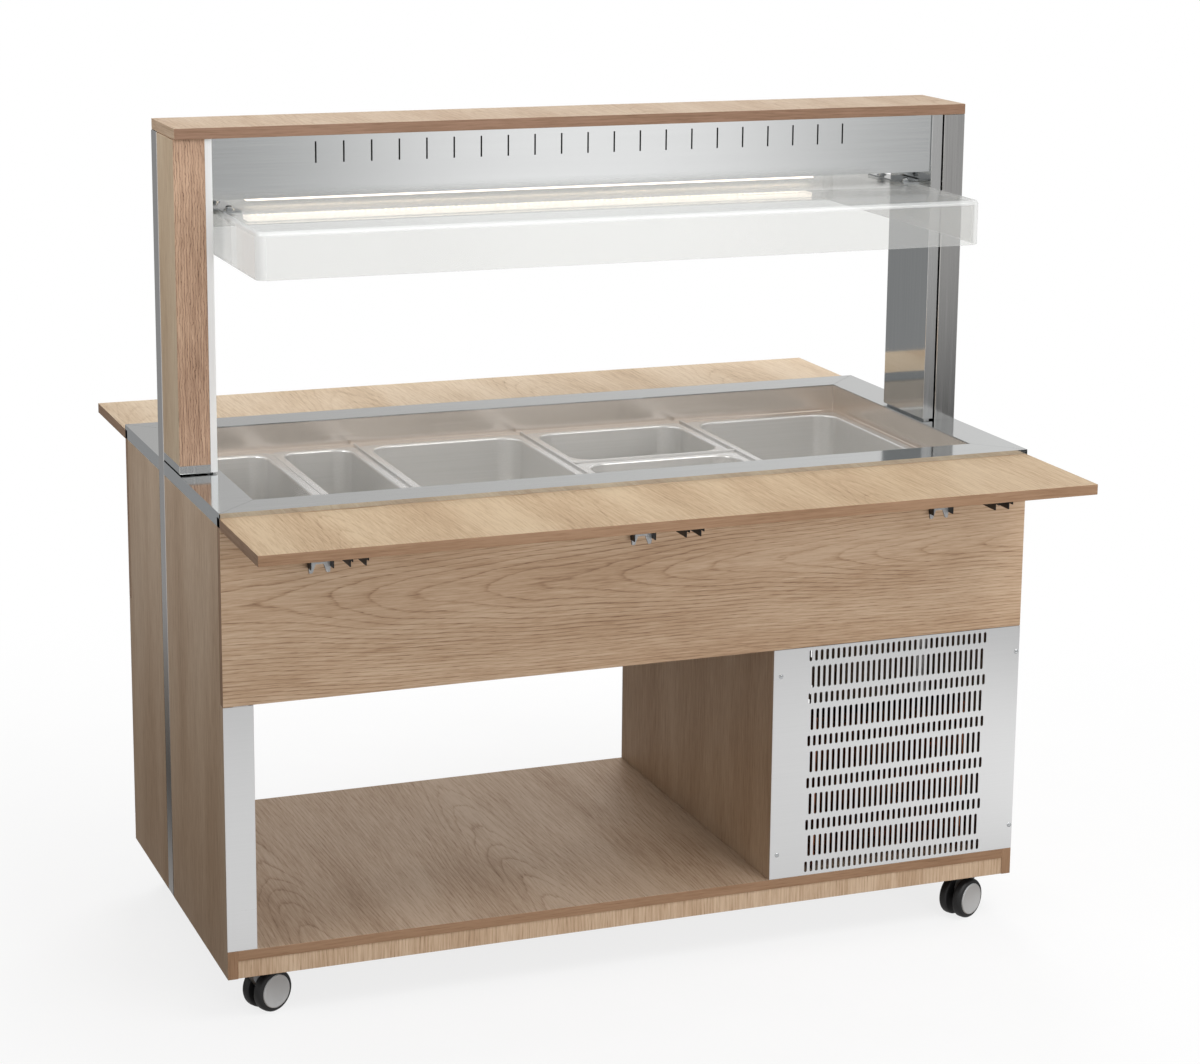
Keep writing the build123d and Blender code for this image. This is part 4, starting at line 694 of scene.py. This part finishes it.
TUBE_START, BEND_REACH = 0.01, 0.003
near_tube, far_tube = coil_low.y + coil_size.y / 4, coil_high.y - coil_size.y / 4
bend = (far_tube - near_tube) / 2
for row in range(TUBE_ROWS):
    z = core_low + core_height * (row + 0.5) / TUBE_ROWS
    loop = [Vector((fin_left + TUBE_START, near_tube, z)), Vector((fin_right, near_tube, z))]
    loop += [Vector((fin_right + BEND_REACH * sin(turn), near_tube + bend * (1 - cos(turn)), z))
             for turn in (step * pi / 8 for step in range(1, 8))]
    loop += [Vector((fin_right, far_tube, z)), Vector((fin_left + TUBE_START, far_tube, z))]
    tube(condenser_shape, loop, TUBE_RADIUS, 1)
place("condenser_core", condenser_shape, [fin_aluminium, copper_tube], "aluminium", "condenser")

# Controls on the rear cover: a fluted knob, two rocker switches in bezels and a flanged mains inlet,
# all of black moulded plastic, on a sheet steel box.
BEZELS_BEHIND, BEZELS_AT, BEZELS_REACH = 0.0235, 0.47, 0.06
cover_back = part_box("rear_cover")[1].y - BEZELS_BEHIND


def bezel_finish(middle, normal):
    """The bezels of the switches and the inlet are plastic, and the rest of the box is sheet."""
    return int(middle.y > cover_back and abs(middle.x - BEZELS_AT) < BEZELS_REACH)


finished("control_box", [galvanised, pedal_plastic], edge=0.0004, pick=bezel_finish)
knob_white = moulded_plastic("moulded_white_plastic", "#D9D9D6", "#E6E6E3", 0.36)
knob_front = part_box("thermostat_knob")[1].y
POINTER_DEPTH = 0.0004
finished("thermostat_knob", [pedal_plastic, knob_white], "black_plastic",
         pick=lambda middle, normal: int(middle.y > knob_front - POINTER_DEPTH))
rocker_green = moulded_plastic("moulded_green_plastic", "#1F6B3C", "#2A8049", 0.28)
finished("power_switch", [rocker_green], "black_plastic", 0.0004)
finished("light_switch", [pedal_plastic], "black_plastic", 0.0004)
finished("power_inlet", [pedal_plastic], "black_plastic", 0.0004)

# Well: a welded stainless tub with a ledge for the pans, in a foam casing skinned with galvanised sheet,
# with a copper evaporator coil under its floor and a drain with a brass ball valve.
tub_steel = steel("satin_stainless_tub", "#E2D8CE", "#EAE2DA", 0.22, "X", 0.02, 0.80)
finished("well_tub", [tub_steel], edge=0.0008)
repaint("well_insulation", galvanised)
finished("cooling_coil", [copper_tube], "copper")

# Turned brass is bright, with tool marks a millimetre apart.
drain_brass = coat("turned_brass", [(0.3, "#B08D45"), (0.7, "#CDAA62")], (700.0, 2.0), roughness=0.28,
                   metallic=1.0)
FLANGE_SHEET = 0.004
tub_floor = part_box("drain_valve")[1].z
finished("drain_valve", [drain_brass, tub_steel], "brass", 0.0006,
         lambda middle, normal: int(middle.z > tub_floor - FLANGE_SHEET))

# Counter top: four polished stainless strips with mitred corners round the well, turned down at the sides
# as skirts and at the front and rear as narrow lips, and notched where the uprights pass through.
top_steel = steel("polished_stainless_top", "#CED1D2", "#D8DBDC", 0.11, "X", 0.012)
TOP_SHEET, SKIRT_SHEET, TUB_SHEET, LIP_HEIGHT, MITRE_GAP = 0.002, 0.0015, 0.0015, 0.008, 0.0003


def slab(shape, outline, low, high):
    """A flat plate between two heights, from an outline of (x, y) points that runs anticlockwise."""
    bottom = [shape.verts.new((x, y, low)) for x, y in outline]
    top = [shape.verts.new((x, y, high)) for x, y in outline]
    shape.faces.new(bottom[::-1])
    shape.faces.new(top)
    for i in range(len(outline)):
        j = (i + 1) % len(outline)
        shape.faces.new((bottom[i], bottom[j], top[j], top[i]))


def oblong(left, right, front, rear):
    """The outline of a rectangle."""
    return [(left, front), (right, front), (right, rear), (left, rear)]


top_low, top_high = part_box("steel_top")
well_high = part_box("well_tub")[1]
rim_x, rim_y = well_high.x - TUB_SHEET, well_high.y - TUB_SHEET
reach_x, reach_y = top_high.x, top_high.y
near_upright, far_upright, upright_width = 0.0425, 0.0835, 0.0425
top_shape = bmesh.new()
for side in (-1, 1):
    strip = [(-reach_x + MITRE_GAP, -reach_y), (reach_x - MITRE_GAP, -reach_y), (rim_x - MITRE_GAP, -rim_y),
             (-rim_x + MITRE_GAP, -rim_y)]
    slab(top_shape, [(side * x, side * y) for x, y in strip], top_high.z - TOP_SHEET, top_high.z)
    end = [(-reach_x, reach_y - MITRE_GAP), (-reach_x, far_upright), (-reach_x + upright_width, far_upright),
           (-reach_x + upright_width, near_upright), (-reach_x, near_upright),
           (-reach_x, -reach_y + MITRE_GAP), (-rim_x, -rim_y + MITRE_GAP), (-rim_x, rim_y - MITRE_GAP)]
    slab(top_shape, [(side * -x, side * -y) for x, y in end], top_high.z - TOP_SHEET, top_high.z)
    for start, stop in ((-reach_y, near_upright), (far_upright, reach_y)):
        skirt = oblong(-reach_x, -reach_x + SKIRT_SHEET, start, stop)
        slab(top_shape, [(side * -x, side * -y) for x, y in skirt], top_low.z, top_high.z - TOP_SHEET)
    lip = oblong(-reach_x, reach_x, -reach_y, -reach_y + SKIRT_SHEET)
    slab(top_shape, [(side * x, side * y) for x, y in lip], top_high.z - LIP_HEIGHT, top_high.z - TOP_SHEET)
TOP_EDGE = 0.0004
ease(top_shape, TOP_EDGE)
place("steel_top_strips", top_shape, [top_steel], "stainless_steel", "steel_top")

# Pans: deep drawn stainless trays with a flat flange, a rounded mouth and large corner radii.
# The bars between them are folded stainless with a raised rib.
pan_steel = steel("drawn_stainless_pan", "#E4E3E1", "#ECEBE9", 0.20, "X", 0.01, 0.66)
PAN_SHEET, PAN_FLANGE, PAN_DRAFT, PAN_CORNER, FLANGE_CORNER = 0.0012, 0.015, 0.003, 0.042, 0.016
PAN_FLOOR_RADIUS, MOUTH_RADIUS, LONG_PAN_CORNER, LEAST_CORNER, ARC_STEPS = 0.018, 0.0035, 0.034, 0.004, 6


def rounded_outline(half_x, half_y, radius, steps=10):
    """Points round a rectangle with round corners, centred on the origin."""
    points = []
    for quarter, (sign_x, sign_y) in enumerate(((1, 1), (-1, 1), (-1, -1), (1, -1))):
        for step in range(steps + 1):
            turn = (quarter + step / steps) * pi / 2
            points.append((sign_x * (half_x - radius) + radius * cos(turn),
                           sign_y * (half_y - radius) + radius * sin(turn)))
    return points


def loft(shape, rings, centre):
    """A closed shell through rings of (half length, half depth, corner radius, height)."""
    made = []
    for half_x, half_y, radius, height in rings:
        outline = rounded_outline(half_x, half_y, radius)
        made.append([shape.verts.new((centre[0] + x, centre[1] + y, height)) for x, y in outline])
    shape.faces.new(made[0])
    shape.faces.new(made[-1][::-1])
    for first, second in zip(made, made[1:]):
        for i in range(len(first)):
            j = (i + 1) % len(first)
            shape.faces.new((first[i], first[j], second[j], second[i]))
    bmesh.ops.recalc_face_normals(shape, faces=shape.faces)


def pan(node, corner=PAN_CORNER):
    """One pan where the constructed one is, drawn from a single sheet."""
    low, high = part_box(node)
    half_x, half_y = (high.x - low.x) / 2, (high.y - low.y) / 2
    basin_x, basin_y = half_x - PAN_FLANGE, half_y - PAN_FLANGE

    def skin(offset):
        """Rings from the middle of the floor up the wall to the mouth, for the inner or the outer skin."""
        floor_z, rings = low.z + PAN_SHEET - offset, []
        narrow = PAN_DRAFT + PAN_SHEET - offset
        base = PAN_FLOOR_RADIUS + offset
        rings.append((basin_x - narrow - base, basin_y - narrow - base, max(corner - base, LEAST_CORNER),
                      floor_z))
        for step in range(1, ARC_STEPS + 1):
            turn = step / ARC_STEPS * pi / 2
            inset = narrow + base * (1 - sin(turn))
            rings.append((basin_x - inset, basin_y - inset, max(corner - inset, LEAST_CORNER),
                          floor_z + base * (1 - cos(turn))))
        mouth = MOUTH_RADIUS - offset
        for step in range(ARC_STEPS + 1):
            turn = step / ARC_STEPS * pi / 2
            inset = PAN_SHEET - offset - mouth * (1 - cos(turn))
            rings.append((basin_x - inset, basin_y - inset, corner - inset,
                          high.z - offset - mouth * (1 - sin(turn))))
        return rings

    inner, outer = skin(0.0), skin(PAN_SHEET)
    edge = PAN_SHEET / 3
    rim = [(half_x - inset, half_y - inset, FLANGE_CORNER - inset, high.z - drop)
           for inset, drop in ((edge, 0.0), (0.0, edge), (0.0, 2 * edge), (edge, PAN_SHEET))]
    shape = bmesh.new()
    loft(shape, inner + rim + outer[::-1], ((low.x + high.x) / 2, (low.y + high.y) / 2))
    soften(shape, radians(40))
    place(node + "_drawn", shape, [pan_steel], "stainless_steel", node)


for name in ("full_pan_left", "full_pan_right", "half_pan_front", "half_pan_rear"):
    pan(name)
for name in ("long_pan_left", "long_pan_right"):
    pan(name, LONG_PAN_CORNER)
finished("divider_bars", [pan_steel], edge=0.0005)

# Posts: folded stainless with a mirror inner face, brushed outer faces and a rolled lip beside the oak,
# painted near white as a painted highlight, and a steel trim at the foot. Oak boards with upright grain are
# fixed to the outer corner of each, their fronts in a darker copy of the oak as painted shade and their sides
# in a lighter copy as painted light.
mirror_steel = steel("mirror_polished_stainless", "#C9CBCB", "#D2D4D4", 0.06, "Z", 0.01)
post_steel = steel("brushed_stainless_post", "#DCDBDA", "#E6E5E4", 0.16, "Z", 0.012)
# The lip is near white and only partly metallic: a painted highlight.
lip_painted_highlight = steel("rolled_edge_painted_highlight", "#F0F0F0", "#F6F6F6", 0.35, "Z", 0.01, 0.35)
oak_reach = max(vertex.co.x for vertex in frame["nodes"]["post_claddings"].data.vertices if vertex.co.x < 0)
for node, side in (("post_left", 1), ("post_right", -1)):
    shape = merged_copy(node)
    ease(shape, 0.0005, 1)
    bmesh.ops.bisect_plane(shape, geom=shape.verts[:] + shape.edges[:] + shape.faces[:],
                           plane_co=(side * oak_reach, 0, 0), plane_no=(1, 0, 0))
    soften(shape)
    for face in shape.faces:
        middle = face.calc_center_median() * side
        lip = middle.x > oak_reach and middle.y < 0 and abs(face.normal.y) > 0.5
        face.material_index = 1 if abs(face.normal.x) > 0.9 else 2 if lip else 0
    place(node + "_finished", shape, [post_steel, mirror_steel, lip_painted_highlight], "stainless_steel", node)
# The post fronts take a darker copy of the oak, painted shade, and the post sides a lighter copy, painted
# light.
shaded_post_oak_front = oak("oak_decor_post_front_painted_shade", "Z", "Y", (0.3, 0.05, 0.0), plank=0.2,
                     shades=("#C6A68C", "#A3836C", "#664C3C"), lines=1.3, slope=0.02, heart=0.12,
                     wave=0.010, ripple=42.0, year=0.0042)
lit_post_oak_side = oak("oak_decor_post_side_painted_light", "Z", "X", (0.8, 0.30, 0.0), plank=0.4,
                    shades=("#DCC8AC", "#C8AF91", "#9A8063"), lines=0.3, slope=0.02, heart=0.12)
board("post_claddings", lit_post_oak_side, shaded_post_oak_front, band_x)

# Canopy board: oak-faced chipboard that lies on the posts and the fascia.
# Its grain runs across it, in a darker copy of the oak as painted shade, and its long edges are banded along
# it in a still darker copy of the banding oak, also painted shade.
shaded_canopy_oak = oak("oak_decor_canopy_painted_shade", "Y", "Z", (0.9, 0.75, 0.0), plank=0.30,
                 shades=("#CBB59C", "#B69B80", "#8A6E55"), lines=0.5)
# Darker copy of the banding oak: painted shade.
CANOPY_BAND_PAINTED_SHADES = ("#977762", "#846650", "#664B39")
shaded_canopy_band_x = oak("canopy_band_lengthwise_painted_shade", "X", "Y", (0.7, 0.4, 0), shades=CANOPY_BAND_PAINTED_SHADES, lines=0.3,
                    heart=0.1)
canopy_band_y = oak("canopy_band_crosswise", "Y", "X", (0.7, 0.1, 0), lines=0.3, heart=0.1)
board("canopy_board", canopy_band_y, shaded_canopy_band_x, shaded_canopy_oak)

# Fascia panels: satin stainless with a row of narrow slots, left bare of any lettering.
# A matt black sheet stands behind the slots of each panel as painted shade, and the slot walls are painted
# the same black, so that the slots read as dark.
fascia_steel = steel("satin_stainless_fascia", "#E9EAEA", "#EFF0F0", 0.13, "X", 0.004)
slot_shadow = moulded_plastic("matt_black_slot_shade", "#0A0A0B", "#101011", 0.7)
fascia_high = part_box("fascia_panels")[1]
FACE_SLACK = 0.0001
face_y = fascia_high.y - FACE_SLACK
# Every face but the outer face and the underside, the slot walls among them, is painted matt black: painted
# shade.
finished("fascia_panels", [fascia_steel, slot_shadow],
         pick=lambda middle, normal: int(abs(middle.y) <= face_y and normal.z >= -0.5))
# The black sheet behind the slots is painted shade.
SHADE_SHEET, SHADE_SETBACK, SHADE_HEIGHT, SHADE_GAP = 0.0008, 0.0022, 0.0545, 0.0005
shade_reach, shade_top = fascia_high.x - 2 * SHADE_GAP, fascia_high.z - SHADE_GAP
shade_face = fascia_high.y - SHADE_SETBACK
shade_sheet_shape = bmesh.new()
for side in (-1, 1):
    near_face, far_face = sorted((side * shade_face, side * (shade_face - SHADE_SHEET)))
    slab(shade_sheet_shape, oblong(-shade_reach, shade_reach, near_face, far_face), shade_top - SHADE_HEIGHT,
         shade_top)
place("slot_shade_sheet", shade_sheet_shape, [slot_shadow], "stainless_steel", body="root")

# Light bar: a grey coated steel tray closes the fascia from below, with a frosted channel under it.
# A strip of warm diodes glows in the channel.
bar_low, bar_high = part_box("light_bar")
TRAY_SHEET = 0.0032
channel_left, channel_right, channel_front, channel_rear = -0.611, 0.465, -0.032, 0.004
tray_steel = steel("grey_coated_sheet", "#9FA1A2", "#AEB0B1", 0.36, "X", 0.02)

# The frosted profile glows softly, and each diode in it is a bright point in clear resin.
frosted_profile = coat("frosted_light_profile", [(0.3, "#F6E9DA"), (0.7, "#FFF4E6")], (60.0, 2.0),
                       roughness=0.4, glow=1.6)
finished("light_bar", [tray_steel, frosted_profile], edge=0.0003,
         pick=lambda middle, normal: int(middle.z < bar_high.z - TRAY_SHEET))
DIODE_PITCH, DIODE_SIZE, DIODE_MARGIN, DIODE_DROP = 0.0105, (0.0042, 0.0045, 0.0012), 0.012, 0.0001
warm_diode = coat("warm_diode", [(0.3, "#FFE0B4"), (0.7, "#FFEBCB")], (60.0, 2.0), roughness=0.4, glow=7.0)
diode_count = int((channel_right - channel_left - 2 * DIODE_MARGIN) / DIODE_PITCH)
diode_shape = bmesh.new()
diode_shape.from_mesh(grown(row_maker, {
    "Count": diode_count, "Step": (DIODE_PITCH, 0, 0), "Size": DIODE_SIZE, "Material": warm_diode,
    "Start": (channel_left + DIODE_MARGIN, (channel_front + channel_rear) / 2, bar_low.z - DIODE_DROP)}))
place("diode_strip", diode_shape, [warm_diode], "aluminium", body="root")

# Hood: one tray of clear acrylic, open below, with bent edges and bonded corners.
# Clear sheet lets the posts show through it. Along its bends and cut edges it takes a denser white haze, a
# painted highlight.


def acrylic(name, density):
    """Cast acrylic sheet: clear, with a slight white haze, and whiter where it is seen at a low angle."""
    material, tree, place_in = new_material(name)
    haze = add(tree, "TexNoise", {"Vector": place_in, "Scale": 3.0, "Detail": 2.0})
    colour = add(tree, "ValToRGB", {0: haze}, stops=[(0.2, "#F3F5F5"), (0.8, "#FAFBFB")])
    polish = add(tree, "Math", {0: haze, 1: 0.02, 2: 0.03}, operation="MULTIPLY_ADD")
    milky = add(tree, "BsdfDiffuse", {"Color": colour})
    clear = add(tree, "BsdfTransparent", {"Color": linear("#F5F5F4")})
    body = add(tree, "MixShader", {0: density, 1: clear, 2: milky})
    steep = add(tree, "Math", {0: add(tree, "LayerWeight").outputs["Facing"], 1: 5.0}, operation="POWER")
    gloss = add(tree, "Math", {0: steep, 1: 0.36, 2: 0.04}, operation="MULTIPLY_ADD")
    skin = add(tree, "BsdfGlossy", {"Color": colour, "Roughness": polish})
    add(tree, "OutputMaterial", {"Surface": add(tree, "MixShader", {0: gloss, 1: body, 2: skin})})
    return material


HOOD_WALL, HOOD_CORNER, HOOD_EDGE, HOOD_MOUTH, BEND_STEPS = 0.005, 0.018, 0.008, 0.001, 6
clear_acrylic = acrylic("clear_cast_acrylic", 0.18)
acrylic_painted_highlight = acrylic("clear_acrylic_painted_highlight", 0.42)
hood_low, hood_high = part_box("hood")
hood_x, hood_y = hood_high.x, hood_high.y


def hood_skin(wall):
    """Rings from the mouth up the wall and over the bent edge to the top, for one skin of the sheet."""
    half_x, half_y, corner, bend = hood_x - wall, hood_y - wall, HOOD_CORNER - wall, HOOD_EDGE - wall
    top = hood_high.z - wall
    rings = [(half_x, half_y, corner, hood_low.z)]
    for step in range(BEND_STEPS + 1):
        turn = step / BEND_STEPS * pi / 2
        inset = bend * (1 - cos(turn))
        rings.append((half_x - inset, half_y - inset, corner - inset, top - bend * (1 - sin(turn))))
    return rings


hood_shape = bmesh.new()
loft(hood_shape, hood_skin(HOOD_WALL)[::-1] + hood_skin(0.0), (0.0, 0.0))
soften(hood_shape)
hood_shape.normal_update()
# The bends, the rounded corners and the cut edge at the mouth take the denser haze: a painted highlight.
for face in hood_shape.faces:
    flat = max(abs(part) for part in face.normal) > 0.995
    face.material_index = 0 if flat and face.calc_center_median().z > hood_low.z + HOOD_MOUTH else 1
place("hood_tray", hood_shape, [clear_acrylic, acrylic_painted_highlight], "clear_acrylic", "hood")

# Hood brackets: a stainless strap on the hood at each end, with two domed bolts and knurled nuts.
# The tongue of each strap enters a slot in its post.
finished("hood_brackets", [screw_steel], edge=0.0004)

# Folding shelves: oak-faced boards level with the counter, one along the front and one along the rear.
# Their grain runs across them, and their edges are banded. The rear shelf takes a lighter copy of the oak,
# painted light.
shelf_oak = oak("oak_decor_front_shelf", "Y", "Z", (1.6, 0.10, 0.0), plank=0.46,
                shades=("#D0B897", "#BB9F7E", "#8D7053"), lines=0.35)
# Lighter copy of the oak for the rear shelf: painted light.
lit_rear_shelf_oak = oak("oak_decor_rear_shelf_painted_light", "Y", "Z", (2.4, 0.25, 0.4), plank=0.40,
                     shades=("#E2CDB2", "#CFB698", "#9C8063"), lines=0.35)
board("front_shelf", band_y, band_x, shelf_oak)
board("rear_shelf", band_y, band_x, lit_rear_shelf_oak)

# Folding brackets: chromed pressed legs screwed to the apron, with black channel arms under the shelf and
# black struts. The cheeks of each leg are painted black as painted shade.
chrome = steel("chromed_steel", "#CFD1D3", "#E2E4E6", 0.20, "Z", 0.01, 0.55)
# Black paint for the arms and struts, and painted shade on the cheeks of the legs.
black_paint_and_shade = moulded_plastic("matt_black_paint_and_shade", "#08080A", "#0F0F11", 0.5)
BRACKET_PLACES, CHEEK_REACH = (-0.582, -0.005, 0.573), 0.0182


def leg_chrome_and_painted_shade(middle, normal):
    """The cheeks of each leg, at its two sides, are painted black as painted shade, and its back is chromed.
    """
    return int(min(abs(middle.x - x) for x in BRACKET_PLACES) > CHEEK_REACH)


finished("bracket_legs", [chrome, black_paint_and_shade], edge=0.0003, pick=leg_chrome_and_painted_shade)
for side in ("front", "rear"):
    finished(side + "_bracket_arms", [black_paint_and_shade], "black_steel", 0.0003)
    finished(side + "_bracket_struts", [black_paint_and_shade], "black_steel", 0.0004)
